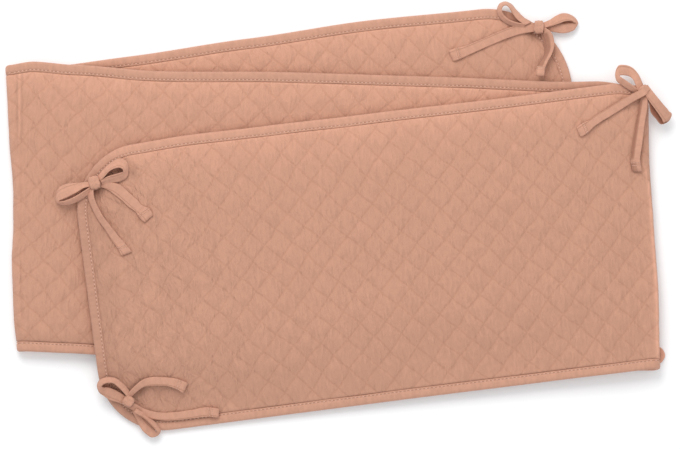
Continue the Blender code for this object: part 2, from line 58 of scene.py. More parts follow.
EDGE_STRAY = {
    "along": (0.00, 0.06, 0.12, 0.20, 0.30, 0.45, 0.550, 0.586, 0.64, 0.80, 0.95, 1.08, 1.165, 1.205,
              1.238, 1.29, 1.36, 1.48, 1.60, 1.72, 1.80),
    "top": (0.0000, 0.0014, 0.0034, 0.0024, 0.0012, -0.0005, -0.0005, -0.0062, 0.0008, 0.0030,
            0.0034, 0.0008, 0.0048, 0.0070, 0.0020, -0.0036, -0.0027, 0.0006, 0.0040, 0.0015, 0.0000),
    "bottom": (0.0000, 0.0001, 0.0002, 0.0003, 0.0003, -0.0003, -0.0010, -0.0016, 0.0000, 0.0000,
               0.0000, 0.0000, 0.0035, 0.0042, 0.0032, 0.0010, 0.0000, 0.0000, 0.0000, 0.0000, 0.0000),
}
FOLD_BULGE = (
    {"across": (-0.145, -0.060, 0.000, 0.060, 0.145),
     "out": (-0.0010, 0.0012, 0.0000, -0.0012, 0.0012)},
    {"across": (-0.145, -0.110, -0.060, -0.010, 0.020, 0.070, 0.145),
     "out": (0.0018, 0.0036, 0.0032, -0.0006, -0.0019, -0.0003, 0.0000)},
)

# The panel's fine shape
SHOULDER_START = 0.0098
SHOULDER_END = 0.0112
QUILT_START = 0.0110
QUILT_END = 0.0160
STITCH_SINK = 0.00050
PILLOW_RISE = 0.00032
DOME_POWER = 0.7
UNDERSIDE_SHARE = 0.5
COLUMN_STEP = 0.0031
CORNER_COLUMNS = 22
FOLD_COLUMNS = 34
FOLD_MARGIN = 0.014
SLANT_REACH = 0.12
EDGE_ROWS = (0.0060, 0.0098, 0.0102, 0.0106, 0.0112, 0.0126, 0.0146)
MIDDLE_ROWS = 60
WANDER = (0.0026, 0.0019)
WANDER_AT_END = (0.9, 0.03, 0.22)
WANDER_SIZE = (0.045, 0.013)
QUILT_DRIFT = {
    "along": (0.00, 0.40, 0.48, 0.56, 0.80, 0.94, 1.02, 1.07, 1.17, 1.24, 1.45, 1.80),
    "ahead": (0.0102, 0.0107, 0.0122, 0.0140, 0.0144, 0.0125, 0.0108, 0.0095, 0.0075, 0.0075,
              -0.0004, -0.0004),
    "aside": (0.0047, 0.0047, 0.0048, 0.0047, 0.0040, 0.0015, -0.0026, -0.0048, -0.0053, -0.0053,
              -0.0039, -0.0039),
}
WANDER_SEEDS = (3.1, 5.9)
WANDER_SEED_STEP = 4.6
PLAINER_END = (0.55, 0.06, 0.18)
PLAIN_AT_FOLD = (0.007, 0.009)
PLAIN_FADE = 0.005
FOLD_RIDGES = (
    ((0.0016, -0.00045, 0.0013),),
    ((0.0030, -0.00045, 0.0014), (-0.0032, -0.00040, 0.0016), (-0.0085, -0.00035, 0.0016)),
)
SEAM_PLACE = -0.3236
SEAM_RIDGE = 0.00035
SEAM_GROOVE = 0.00045
SEAM_WIDTH = 0.0014
SEAM_STEP = 0.0023
SEAM_COLUMNS = (1.2140, 1.2240, 0.0007)
SEAM_GLOW = 0.20
SEAM_SHADE = 0.16
SEAM_FADE = (0.060, 0.060)
RUMPLE = 0.00022
RUMPLE_SIZE = (0.020, 0.010)
RUMPLE_SEED = 1.3

# Main creases of the cloth: layer, place, heading, half length, half width, depth (up is plus),
# and how far and how fast each one bows
CREASE_BOW = (0.12, 1.7)
CREASES = (
    (0, (-0.150, 0.020), 80.0, 0.030, 0.0040, -0.0007),
    (0, (-0.120, -0.060), 96.0, 0.022, 0.0035, -0.0006),
    (0, (-0.060, 0.045), 86.0, 0.026, 0.0040, -0.0006),
    (0, (0.020, 0.030), 78.0, 0.030, 0.0045, -0.0006),
    (0, (0.120, 0.060), 92.0, 0.026, 0.0040, -0.0005),
    (0, (0.210, 0.000), 84.0, 0.028, 0.0045, -0.0006),
    (0, (0.245, 0.075), 60.0, 0.034, 0.0050, -0.0007),
    (0, (-0.190, -0.120), 60.0, 0.030, 0.0045, -0.0006),
    (0, (-0.2110, 0.0580), 98.0, 0.012, 0.0028, -0.0013),
    (1, (-0.290, 0.060), 84.0, 0.040, 0.0045, -0.0007),
    (1, (-0.255, -0.020), 92.0, 0.028, 0.0040, -0.0006),
    (1, (-0.160, 0.120), 80.0, 0.020, 0.0040, -0.0006),
    (2, (0.060, 0.170), 86.0, 0.022, 0.0040, -0.0006),
    (2, (0.165, 0.170), 70.0, 0.024, 0.0045, -0.0006),
)

# How much lighter or deeper the cloth is where the light falls on it, as the photograph has it:
# the amount, where it starts or is strongest, and how softly it fades. A hollow beside a knot
# gives its layer, its place, its reach and how deep its shade is.
TOP_GLOW = ((0.15, 0.011, 0.012), (0.06, 0.000, 0.050))
FREE_END_SHADE = (0.11, 0.011, 0.016)
MIDDLE_FOOT_SHADE = (0.12, 0.012, 0.006)
FOLD_RIM_GLOW = ((0.36, 0.0025, 0.0017), (0.08, 0.0000, 0.0060))
LEFT_FOLD_SHADE = (0.07, 0.0110, 0.0060)
HOLLOWS = (
    (0, (-0.2446, 0.0335), 0.0055, 0.66),
    (0, (-0.2095, 0.0530), 0.0060, 0.30),
    (0, (-0.2035, -0.1670), 0.0055, 0.62),
    (0, (-0.2000, -0.1620), 0.0040, 0.30),
    (2, (0.1945, 0.1930), 0.0050, 0.66),
    (2, (0.2040, 0.1915), 0.0050, 0.60),
)
TAPE_SHADE = {"end": 0.15, "middle_top": 0.09, "middle_foot": 0.05, "bottom_top": 0.05}
TAPE_END_REACH = (0.012, 0.045)
TAPE_SIDE_REACH = 0.02

# The binding: a tape folded over the edge and sewn down with a row of stitches on each face
BINDING_PROFILE = (
    (0.00985, 0.00205), (0.01012, 0.00228), (0.01004, 0.00258), (0.00960, 0.00292), (0.00890, 0.00285),
    (0.00830, 0.00240), (0.00765, 0.00285), (0.00650, 0.00302), (0.00450, 0.00300), (0.00270, 0.00300),
    (0.00130, 0.00272), (0.00045, 0.00205), (0.00008, 0.00105), (0.00000, 0.00000),
)
BINDING_LINING = ((0.00985, -0.00198), (0.00110, -0.00198), (0.00110, 0.00198), (0.00985, 0.00198))
BINDING_FACE = 0.0095
BINDING_STEP = 0.0040
BINDING_FOLD_STEPS = 22
BINDING_CORNER_STEPS = 26
BINDING_PUFF = 0.00022
BINDING_PUCKER = {"amount": 0.00012, "size": 0.006, "seed": 9.4}
BINDING_WAVER = {"amount": 0.00035, "size": 0.035, "seed": 5.2, "from_inset": 0.006, "fade": 0.004}
STITCH_INSET = 0.0083
STITCH_HEIGHT = 0.0028
STITCH_PITCH = 0.0040
STITCH_SIZE = (0.0012, 0.00062, 0.00050)

# The ties: both edges of every tape, placed on the photograph. Walking from the knot, a
# row gives the left edge's place and the right edge's place, in pixels from the photograph's
# upper left corner, and each edge's height over the cloth, in millimetres. The knot's place is
# in pixels too, and its size is its half length, half width and half height in millimetres.
# How high the tie lies above the floor and how long its tape is are in metres. A strand's
# shades follow its rows: the shares of its length where the shade starts and stops, 1 for the
# left side or -1 for the right, how far to that side, from -1 to 1, the shade is half as deep,
# and how deep it is. A shade below 0 makes the tape lighter.
MILLIMETRE = 0.001
TAPE_THICKNESS = 0.0015
TAPE_FALL = 0.34
COVER_MARGIN = 0.0022
PILLOW_COVER = 0.0005
PRESSED_HEIGHT = 0.0016
KNOT_LIFT = 0.0040
PRESSED_KNOT = 0.003
PRESSED_LIFT = 0.0003
KNOT_SHADE = 0.55
KNOT_SHADE_TOWARDS = -60.0
KNOT_GRID = (56, 28)
KNOT_SQUARENESS = 0.72
KNOT_BAND = {"rise": 0.10, "half": 0.58, "edge": 0.12, "fall": 0.10, "from": 0.72, "reach": 0.20}
KNOT_FOLDS = {"along": 5.0, "round": 1.3, "out": 0.14, "up": 0.18}
KNOT_PATTERN = (0.4, 0.012, 0.006)
KNOT_SHADE_FADE = (0.9, 0.5, 0.3)
BED_SMOOTHING = 8
TIES = {
    "tie_top_left": {
        "knot": (94.6, 183.0), "above": 0.024, "turned": 14.0, "size": (6.9, 6.3, 4.0), "length": 0.36,
        "strands": (
            ("loop", (
                (91.0, 186.5, 91.0, 181.5, 5.5, 4.5), (84.0, 188.2, 83.0, 182.3, 5.2, 2.4),
                (76.0, 193.0, 74.0, 183.0, 5.2, 1.2), (67.0, 197.6, 64.0, 184.6, 5.4, 0.9),
                (61.0, 200.0, 57.8, 189.0, 5.6, 0.8), (59.0, 200.9, 55.6, 196.0, 5.8, 0.8),
                (59.4, 201.7, 56.4, 201.8, 6.0, 0.8), (62.5, 201.6, 61.0, 204.4, 6.2, 0.8),
                (68.5, 199.7, 68.0, 205.0, 6.4, 0.8), (76.0, 196.3, 77.5, 201.8, 6.4, 0.8),
                (84.0, 191.2, 86.5, 196.2, 6.0, 1.0), (91.0, 186.5, 94.0, 190.5, 5.5, 2.0),
            )),
            ("loop", (
                (97.0, 177.5, 101.0, 181.0, 2.5, 6.0), (101.5, 172.0, 104.5, 176.8, 1.2, 7.0),
                (107.0, 166.0, 109.5, 171.2, 0.9, 7.6), (113.5, 160.8, 115.2, 168.4, 0.9, 7.4),
                (121.0, 158.3, 120.0, 168.0, 0.9, 6.6), (127.0, 161.8, 122.7, 169.4, 0.9, 6.2),
                (128.4, 169.0, 123.4, 171.6, 0.9, 6.4), (127.2, 176.7, 121.9, 172.4, 0.9, 6.4),
                (121.5, 181.0, 116.2, 174.0, 0.9, 6.4), (112.5, 183.2, 108.6, 176.2, 1.0, 6.4),
                (102.0, 185.0, 100.4, 180.6, 2.0, 5.8),
            )),
            ("tail", (
                (93.5, 187.0, 87.5, 185.5, 6.2, 1.2), (94.0, 196.5, 88.0, 197.5, 6.6, 0.9),
                (97.5, 206.0, 91.8, 208.0, 6.2, 0.8), (103.0, 216.0, 97.6, 219.4, 5.6, 0.7),
                (110.5, 226.0, 105.0, 229.8, 4.6, 0.7), (118.8, 236.2, 111.6, 240.4, 2.6, 0.7),
                (126.5, 245.0, 117.8, 248.8, 1.0, 0.8), (132.3, 251.8, 121.2, 256.0, 0.9, 0.9),
            )),
            ("tail", (
                (100.0, 181.5, 98.5, 187.0, 3.0, 1.0), (110.0, 182.2, 106.5, 189.3, 2.4, 0.8),
                (119.5, 184.2, 113.5, 194.2, 1.6, 0.8), (128.0, 191.6, 121.4, 200.4, 1.2, 0.8),
                (136.5, 199.0, 129.0, 207.4, 0.9, 0.8), (145.0, 206.6, 137.0, 213.8, 0.8, 0.8),
                (147.2, 207.2, 137.4, 215.0, 0.8, 0.8), (153.6, 215.0, 144.4, 222.8, 0.8, 0.8),
            )),
        ),
    },
    "tie_bottom_left": {
        "knot": (128.5, 401.5), "above": 0.020, "turned": -33.0, "size": (6.4, 5.2, 3.6), "length": 0.38,
        "strands": (
            ("loop", (
                (127.0, 397.0, 131.0, 393.0, 5.0, 3.0), (119.3, 387.8, 123.2, 383.6, 6.8, 1.2),
                (113.0, 382.8, 114.9, 377.9, 7.6, 0.9), (107.5, 382.6, 106.8, 377.2, 7.6, 0.9),
                (103.2, 384.4, 99.4, 380.2, 7.2, 0.9), (101.6, 386.8, 97.0, 386.4, 6.6, 0.9),
                (102.8, 387.4, 98.6, 391.8, 5.8, 0.9), (107.2, 387.2, 103.6, 396.2, 4.6, 0.9),
                (114.0, 389.4, 110.5, 400.4, 4.0, 0.9), (121.0, 393.0, 118.0, 402.6, 3.8, 1.2),
                (129.0, 398.5, 125.0, 405.5, 4.0, 2.0),
            )),
            ("leaf", (
                (136.5, 408.5, 133.5, 412.0, 3.6, 6.2), (146.0, 415.3, 143.5, 418.0, 1.0, 6.6),
                (153.5, 421.3, 150.2, 424.3, 0.9, 6.6), (158.4, 427.4, 154.9, 429.6, 0.9, 6.2),
                (159.9, 432.4, 156.9, 432.4, 0.9, 5.0), (157.6, 435.8, 155.9, 432.3, 0.9, 3.4),
                (152.4, 437.9, 153.6, 428.4, 0.9, 2.4), (145.5, 434.3, 149.4, 423.6, 0.9, 2.2),
                (140.0, 428.2, 145.0, 419.2, 0.9, 2.2), (136.2, 420.0, 140.6, 414.8, 0.9, 2.8),
                (131.5, 411.0, 135.0, 410.0, 1.5, 3.6),
            )),
            ("tail", (
                (125.5, 396.5, 128.5, 400.0, 6.0, 3.4), (131.0, 390.0, 134.2, 394.0, 5.4, 2.0),
                (136.2, 384.8, 139.4, 389.8, 4.6, 1.6), (142.0, 380.0, 144.3, 387.0, 3.6, 1.4),
                (150.0, 377.3, 150.6, 386.0, 2.4, 1.3), (158.5, 376.9, 158.5, 385.7, 1.6, 1.2),
                (167.0, 377.3, 166.6, 386.1, 1.2, 1.1), (176.0, 378.5, 174.0, 388.3, 0.9, 0.9),
                (188.3, 383.0, 183.0, 393.4, 0.9, 0.9),
            )),
            ("tail", (
                (127.5, 399.0, 123.5, 405.5, 7.2, 6.0), (136.0, 404.4, 132.0, 410.6, 5.6, 3.4),
                (144.0, 408.8, 140.6, 415.0, 2.8, 2.0), (152.5, 411.5, 150.0, 419.0, 1.4, 1.2),
                (163.0, 412.8, 163.0, 420.9, 0.9, 0.9), (177.0, 412.0, 178.0, 420.4, 0.9, 0.9),
                (191.0, 410.0, 192.0, 418.8, 0.9, 0.9), (207.4, 407.4, 208.0, 417.2, 0.9, 0.9),
                (219.3, 408.8, 218.3, 418.2, 0.9, 0.9),
            )),
        ),
    },
    "tie_right_top": {
        "knot": (644.0, 90.5), "above": 0.021, "turned": -50.0, "size": (5.6, 5.2, 3.8), "length": 0.35,
        "strands": (
            ("loop", (
                (637.5, 90.5, 644.5, 88.5, 5.0, 3.0), (635.3, 84.3, 642.2, 81.8, 4.8, 2.0),
                (632.9, 79.2, 638.4, 73.6, 4.6, 1.6), (629.3, 76.2, 632.0, 66.9, 4.2, 1.4),
                (625.0, 75.3, 624.5, 64.7, 4.0, 1.2), (621.0, 75.3, 618.2, 65.9, 4.2, 1.2),
                (619.9, 75.9, 615.5, 72.2, 4.6, 1.2), (620.8, 77.0, 616.1, 79.6, 5.0, 1.2),
                (624.8, 79.8, 621.3, 84.7, 5.4, 1.2), (630.7, 84.0, 628.3, 89.3, 5.6, 1.2),
                (638.5, 89.5, 637.0, 93.8, 5.0, 2.0),
            )),
            ("leaf", (
                (648.5, 86.0, 643.5, 93.0, 6.0, 6.6), (655.2, 94.4, 649.8, 102.4, 6.4, 8.2),
                (662.6, 103.2, 656.2, 110.8, 6.4, 8.6), (669.2, 110.8, 661.8, 118.8, 5.6, 8.0),
                (671.9, 115.6, 664.2, 122.5, 3.8, 6.4), (669.4, 120.6, 665.4, 121.0, 2.6, 3.4),
                (663.4, 124.1, 664.4, 117.0, 3.4, 0.9), (656.0, 118.6, 661.0, 111.4, 5.0, 0.4),
                (650.9, 112.3, 656.8, 105.2, 5.0, 0.4), (649.0, 103.0, 653.2, 98.2, 3.8, 0.8),
                (645.5, 94.5, 648.5, 91.0, 2.5, 2.0),
            ), (0.50, 0.94, -1, -0.95, 0.95)),
            ("tail", (
                (652.0, 91.0, 647.5, 84.8, 5.6, 5.2), (644.0, 96.0, 640.3, 89.3, 8.0, 7.8),
                (635.0, 100.8, 630.8, 94.5, 4.6, 5.0), (624.0, 107.8, 619.6, 100.8, 1.6, 2.4),
                (612.0, 115.3, 607.6, 108.2, 0.9, 1.2), (600.0, 122.5, 595.6, 115.5, 0.8, 0.9),
                (592.0, 128.6, 587.8, 120.8, 0.8, 0.8), (589.6, 131.4, 584.8, 121.6, 0.8, 0.8),
                (580.6, 137.6, 576.2, 127.4, 0.8, 0.8),
            )),
            ("tail", (
                (648.0, 95.0, 640.5, 96.0, 5.6, 2.4), (647.3, 108.0, 638.6, 108.0, 5.4, 1.0),
                (645.0, 122.0, 636.2, 121.0, 5.2, 0.8), (643.2, 136.0, 633.8, 135.0, 5.0, 0.8),
                (641.6, 148.0, 631.8, 148.0, 4.6, 0.8), (640.2, 157.2, 630.8, 158.0, 3.0, 0.9),
                (642.0, 171.4, 632.6, 172.0, 1.6, 1.0),
            ), (0.04, 0.80, -1, 0.25, 0.55), (0.84, 1.10, -1, -0.10, 0.40)),
        ),
    },
    "tie_bottom_layer": {
        "knot": (539.0, 27.4), "above": 0.012, "turned": 0.0, "size": (6.2, 6.2, 3.6), "length": 0.37,
        "strands": (
            ("loop", (
                (525.0, 25.5, 531.0, 22.6, 5.0, 4.0), (516.6, 19.0, 522.6, 16.0, 6.4, 2.4),
                (512.0, 12.2, 516.0, 9.4, 7.4, 1.2), (509.0, 7.2, 510.6, 3.6, 8.0, 0.9),
                (505.8, 5.1, 505.0, 1.7, 8.0, 0.9), (502.7, 6.4, 500.0, 3.6, 8.0, 0.9),
                (501.4, 10.0, 497.4, 9.1, 7.8, 0.9), (503.3, 14.4, 499.1, 16.2, 7.4, 0.9),
                (508.2, 19.2, 504.9, 22.2, 7.0, 0.9), (515.0, 22.1, 513.6, 26.2, 6.6, 0.9),
                (525.0, 24.0, 525.0, 28.0, 5.6, 2.0),
            )),
            ("leaf", (
                (542.0, 23.0, 544.5, 28.2, 3.0, 5.4), (550.0, 19.7, 552.0, 26.0, 1.2, 5.2),
                (556.5, 15.4, 558.5, 23.8, 0.9, 5.0), (563.5, 13.0, 565.0, 21.4, 0.9, 4.8),
                (570.5, 14.5, 570.5, 20.9, 0.9, 4.8), (576.0, 18.5, 573.4, 21.7, 0.9, 5.0),
                (578.2, 23.2, 574.4, 22.9, 0.9, 4.2), (575.7, 28.4, 571.6, 20.6, 0.9, 2.2),
                (570.0, 31.9, 566.8, 19.4, 0.9, 1.4), (562.0, 33.1, 560.0, 20.4, 0.9, 1.4),
                (554.0, 31.9, 552.6, 23.4, 0.9, 2.0), (544.0, 29.8, 545.0, 26.8, 1.6, 3.6),
            ), (0.50, 0.70, -1, 0.35, 0.85), (0.68, 0.94, -1, 0.60, 0.60)),
            ("tail", (
                (536.0, 31.5, 537.0, 22.5, 3.6, 4.0), (521.0, 34.0, 519.0, 24.2, 1.6, 2.4),
                (509.0, 37.8, 506.0, 28.5, 1.0, 1.4), (495.0, 43.5, 491.5, 34.8, 0.9, 1.0),
                (480.0, 50.0, 476.5, 41.2, 0.8, 0.9), (464.4, 57.2, 461.2, 46.6, 0.8, 0.8),
                (461.6, 58.6, 458.6, 46.9, 0.8, 0.8), (453.2, 61.6, 448.6, 50.2, 0.8, 0.8),
            )),
            ("tail", (
                (545.0, 27.5, 541.5, 30.5, 6.2, 3.0), (550.5, 31.5, 541.3, 35.5, 7.4, 1.2),
                (553.6, 38.0, 543.0, 41.0, 7.6, 0.8), (554.2, 46.0, 544.6, 47.5, 7.4, 0.8),
                (552.0, 53.5, 544.0, 54.5, 6.8, 0.8), (548.3, 60.5, 540.5, 60.8, 5.4, 0.8),
                (545.4, 67.5, 537.0, 66.5, 2.8, 0.8), (544.0, 76.4, 535.2, 75.6, 1.0, 0.9),
            ), (0.06, 0.78, -1, -0.30, 0.50)),
        ),
    },
    "tie_right_bottom": {
        "knot": (642.0, 351.8), "above": 0.002, "turned": 70.0, "size": (6.6, 5.8, 2.1), "length": 0.22,
        "strands": (
            ("loop", (
                (640.0, 347.0, 640.0, 352.0, 0.0, 0.0), (648.0, 344.5, 648.0, 353.5, 0.0, 0.0),
                (656.0, 345.3, 655.0, 354.0, 0.0, 0.0), (662.6, 349.2, 656.5, 354.6, 0.0, 0.0),
                (665.2, 355.0, 656.6, 355.2, 0.0, 0.0), (662.4, 361.4, 656.2, 356.0, 0.0, 0.0),
                (656.0, 365.3, 655.0, 356.6, 0.0, 0.0), (648.0, 363.0, 648.0, 356.0, 0.0, 0.0),
                (640.0, 358.0, 640.0, 353.0, 0.0, 0.0),
            ), (0.20, 0.80, 1, 0.10, -0.30)),
            ("loop", (
                (646.0, 357.0, 646.0, 351.0, 0.0, 0.0), (635.0, 355.0, 636.0, 348.0, 0.0, 0.0),
                (623.0, 352.0, 625.0, 346.0, 0.0, 0.0), (616.5, 345.0, 622.0, 344.0, 0.0, 0.0),
                (617.0, 338.0, 622.0, 342.0, 0.0, 0.0), (624.0, 334.0, 625.0, 341.0, 0.0, 0.0),
                (635.0, 338.0, 635.0, 345.0, 0.0, 0.0), (644.0, 346.0, 644.0, 351.0, 0.0, 0.0),
            )),
            ("tail", (
                (637.0, 352.0, 646.0, 350.0, 0.0, 0.0), (634.0, 340.0, 643.0, 337.0, 0.0, 0.0),
                (632.0, 325.0, 641.0, 323.0, 0.0, 0.0), (633.0, 310.0, 642.0, 311.0, 0.0, 0.0),
                (636.0, 297.0, 645.0, 299.0, 0.0, 0.0),
            )),
            ("tail", (
                (644.0, 356.0, 640.0, 348.0, 0.0, 0.0), (633.0, 364.0, 629.0, 356.0, 0.0, 0.0),
                (620.0, 368.0, 618.0, 359.5, 0.0, 0.0), (606.0, 370.0, 604.5, 361.3, 0.0, 0.0),
                (596.0, 370.0, 595.5, 361.0, 0.0, 0.0),
            )),
        ),
    },
    "tie_bottom_layer_hidden": {
        "knot": (572.2, 270.0), "above": 0.002, "turned": 80.0, "size": (6.6, 5.8, 2.1), "length": 0.12,
        "strands": (
            ("tail", (
                (576.5, 270.0, 568.0, 270.0, 0.0, 0.0), (577.0, 282.0, 568.4, 282.4, 0.0, 0.0),
                (576.5, 295.0, 568.0, 294.6, 0.0, 0.0), (574.0, 308.0, 565.8, 306.0, 0.0, 0.0),
                (570.5, 315.0, 562.7, 312.0, 0.0, 0.0),
            )),
            ("tail", (
                (569.0, 273.0, 575.5, 267.0, 0.0, 0.0), (563.0, 262.0, 570.5, 257.5, 0.0, 0.0),
                (559.5, 250.0, 568.0, 248.0, 0.0, 0.0), (558.5, 237.0, 567.0, 237.0, 0.0, 0.0),
                (560.0, 224.5, 568.6, 225.5, 0.0, 0.0),
            )),
        ),
    },
}
TAPE_FACE = 15
TAPE_BACK = 7
TAPE_CROWN = 0.20
TAPE_SHOULDER = 0.93
TAPE_SOLE = -0.95
LOOP_STATIONS = 72
TAIL_STATIONS = 60
CAP_LENGTH = 0.0108
CAP_SWELL = 2.3
CAP_STEP = 0.0010
CAP_WAIST = (0.45, 0.0006, 0.0007)
CAP_TIP_DEPTH = (0.30, 0.0022)
CAP_TIP_WIDTH = (0.88, 0.0016)
CAP_STITCH_ROWS = (0.0016, 0.0040)
CAP_STITCHES = 6
CAP_STITCH_SIZE = (0.00075, 0.00042, 0.00040)
CAP_STITCH_SPREAD = 0.78
CAP_STITCH_SINK = 0.00005
WRINKLE = {"loop": (0.000135, 0.00036), "tail": (0.0, 0.00015)}
WRINKLE_REACH = 0.020
WRINKLE_GRAIN = (620.0, 45.0)
WRINKLE_SEED_SPREAD = 370.0
SHADE_FADE = (0.06, 0.35)
TIE_SEWN_LINE = -0.0034
LOOP_PATTERN_START = 0.5

# Colours, finishes and light
CLOTH_COLOUR = (0.536, 0.276, 0.186)
BINDING_COLOUR = (0.580, 0.300, 0.204)
TIE_COLOUR = (0.572, 0.294, 0.200)
THREAD_COLOUR = (0.690, 0.415, 0.308)
# Painted shade in the sunken stitch lines of the quilting and the tapes
GROOVE_SHADE_COLOUR = (0.484, 0.236, 0.153)
# Painted shade: a deep reddish tint mixed in where other cloth lies close and where the stored share of
# light is low, faded in over the ambient occlusion ranges below
PAINTED_SHADE_COLOUR = (0.330, 0.115, 0.060)
TIE_PAINTED_SHADE_RANGE = (0.05, 0.95)
PANEL_PAINTED_SHADE_RANGE = (-0.25, 0.82)
DEEPER_BELOW = 0.9
DIMMEST = 0.8
FLOOR_COLOUR = (0.90, 0.90, 0.90)
FLOOR_GLOW = 0.07
FLOOR_SIZE = 8.0
FLOOR_DROP = 0.0002
WINDOW = ((-0.55, 2.0, 2.3), 1.7, 50.0, (1.0, 0.985, 0.965))
SKY_COLOUR = (0.955, 0.975, 1.0, 1.0)
SKY_STRENGTH = 0.87

# Grain of the finishes: stretch along and across, scale, detail and roughness
# The creases grain also paints lighter and darker streaks into the colour, standing in for the shading of
# fine wrinkles
CLOTH_GRAIN = {
    "fading": ((1.0, 1.0), 55.0, 2.0, 0.5),
    "creases": ((1.0, 0.22), 300.0, 3.0, 0.55),
    "crumple": ((1.0, 0.8), 110.0, 3.0, 0.6),
    "mottle": ((1.0, 1.0), 22.0, 3.0, 0.6),
    "fibre": ((1.0, 1.0), 900.0, 3.0, 0.7),
}
TAPE_GRAIN = {"creases": ((1.0, 0.4), 240.0, 3.0, 0.6), "fibre": ((1.0, 1.0), 1100.0, 3.0, 0.7)}
THREAD_GRAIN = ((1.0, 1.0), 1500.0, 2.0, 0.6)
CLOTH_WEAVE = 0.0009
TAPE_WEAVE = 0.0008
WEAVE_DEPTH = 0.00008
GROOVE_LINE = (0.0001, 0.0018)
GROOVE_DEPTH = 0.0004
VALLEY_WIDTH = 0.0060
SEWN_LINE = (0.0001, 0.0006)
PLAINER_FROM = (0.06, 0.24)

# The view: a pixel's width in metres at the height of the pack's middle, and the picture's size
PIXEL = 0.0010101
PIXEL_HEIGHT = 0.012
IMAGE_WIDTH = 680
IMAGE_HEIGHT = 449
SENSOR_WIDTH = 36.0
CAMERA_HEIGHT = 6.0


def heading(angle):
    """Unit direction in plan at an angle from +X."""
    turned = math.radians(angle)
    return np.array((math.cos(turned), math.sin(turned)))


def smooth(value):
    """Soft step from 0 to 1."""
    clipped = np.clip(value, 0.0, 1.0)
    return clipped * clipped * (3.0 - 2.0 * clipped)


def rise_from(least, value):
    """Soft step from a least share to 1."""
    return least + (1.0 - least) * smooth(value)


def bump(away, width):
    """A soft bump 1 high, by how far off its middle a place is."""
    return np.exp(-(away / width) ** 2)


def walked_along(points):
    """Distance walked from the first of a row of points to each of them."""
    steps = np.linalg.norm(np.diff(points, axis=0), axis=1)
    return np.concatenate(([0.0], np.cumsum(steps)))


def photo_place(spots, above):
    """Plan places of the photograph's pixels, for points at a height above the floor."""
    scale = PIXEL * (CAMERA_HEIGHT + PIXEL_HEIGHT - above) / CAMERA_HEIGHT
    return (spots - np.array((IMAGE_WIDTH, IMAGE_HEIGHT)) / 2) * np.array((scale, -scale))


def table_value(table, key, column, where):
    """Read a table's column at a place, softly from row to row."""
    keys = np.array(table[key])
    values = np.array(table[column])
    row = np.clip(np.searchsorted(keys, where, side="right") - 1, 0, len(keys) - 2)
    share = (where - keys[row]) / (keys[row + 1] - keys[row])
    return values[row] + (values[row + 1] - values[row]) * smooth(share)


def fold_layers():
    """Plan frames of the three layers: where along = 0 lies, and both directions."""
    first_turn = TOP_HEADING - FOLD_FACING[0]
    middle_heading = 180.0 - first_turn + FOLD_FACING[0]
    second_turn = FOLD_FACING[1] - middle_heading
    bottom_heading = middle_heading + 180.0 + 2.0 * second_turn
    along = [heading(TOP_HEADING), heading(middle_heading), heading(bottom_heading)]
    slant = [math.tan(math.radians(first_turn)), math.tan(math.radians(second_turn))]
    across = [heading(TOP_HEADING + 90.0)]
    across.append(across[0] + slant[0] * (along[0] - along[1]))
    across.append(across[1] + slant[1] * (along[1] - along[2]))
    origin = [np.array(FREE_END)]
    origin.append(origin[0] + (along[0] - along[1]) * FOLD_ALONG[0]
                  - along[1] * FOLD_LENGTH + np.array(FIRST_FOLD_SLIP))
    origin.append(origin[1] + (along[1] - along[2]) * FOLD_ALONG[1] - along[2] * FOLD_LENGTH)
    return origin, along, across, slant


ORIGIN, ALONG, ACROSS, SLANT = fold_layers()


def fold_start(fold, across):
    """Where along the strip a fold begins, at a place across it."""
    return FOLD_ALONG[fold] + across * SLANT[fold]


def plan_point(layer, along, across):
    """Plan place of cloth points if they lie in one layer's plane, edges strayed."""
    share = across / WIDTH
    stray = (table_value(EDGE_STRAY, "along", "top", along) * (0.5 + share)
             + table_value(EDGE_STRAY, "along", "bottom", along) * (0.5 - share))
    place = (ORIGIN[layer] + np.multiply.outer(along, ALONG[layer])
             + np.multiply.outer(across + stray, ACROSS[layer]))
    if layer > 0:
        settled = smooth((along - fold_start(0, across) - FOLD_LENGTH) / SETTLE_REACH)
        place = place + np.multiply.outer(settled, SETTLED)
    for fold in (0, 1):
        if layer in (fold, fold + 1):
            away = np.abs(along - fold_start(fold, across) - FOLD_LENGTH / 2)
            bulge = table_value(FOLD_BULGE[fold], "across", "out", across)
            amount = bulge * (1.0 - smooth(away / FOLD_BULGE_REACH))
            place = place + np.multiply.outer(amount, heading(FOLD_FACING[fold]))
    return place


def over_edge(layer, place):
    """How far plan points lie past a layer's bottom edge, and past its free end."""
    offset = place - ORIGIN[layer] - np.array(SETTLED)
    below = -WIDTH / 2 - offset @ ACROSS[layer]
    beyond = offset @ ALONG[layer] - LENGTH
    return below, beyond


def layer_height(layer, place):
    """Height of a layer's middle over the floor at plan points."""
    if layer == 2:
        return np.full(place.shape[:-1], THICKNESS / 2)
    below, beyond = over_edge(2, place)
    outside = np.hypot(np.maximum(below, 0.0), np.maximum(beyond, 0.0))
    prop = np.linalg.norm(place - np.array(PROP_PLACE), axis=-1) / PROP_RADIUS
    hold = SAG_FLOOR + (PROP_SHARE - SAG_FLOOR) * np.exp(-prop * prop)
    carried = 1.0 - (1.0 - hold) * smooth(outside / SAG_REACH)
    if layer == 1:
        return THICKNESS / 2 + LAYER_PITCH * carried
    below = over_edge(1, place)[0]
    held = 1.0 - smooth(below / SAG_REACH)
    return THICKNESS / 2 + LAYER_PITCH * held * (1.0 + carried)


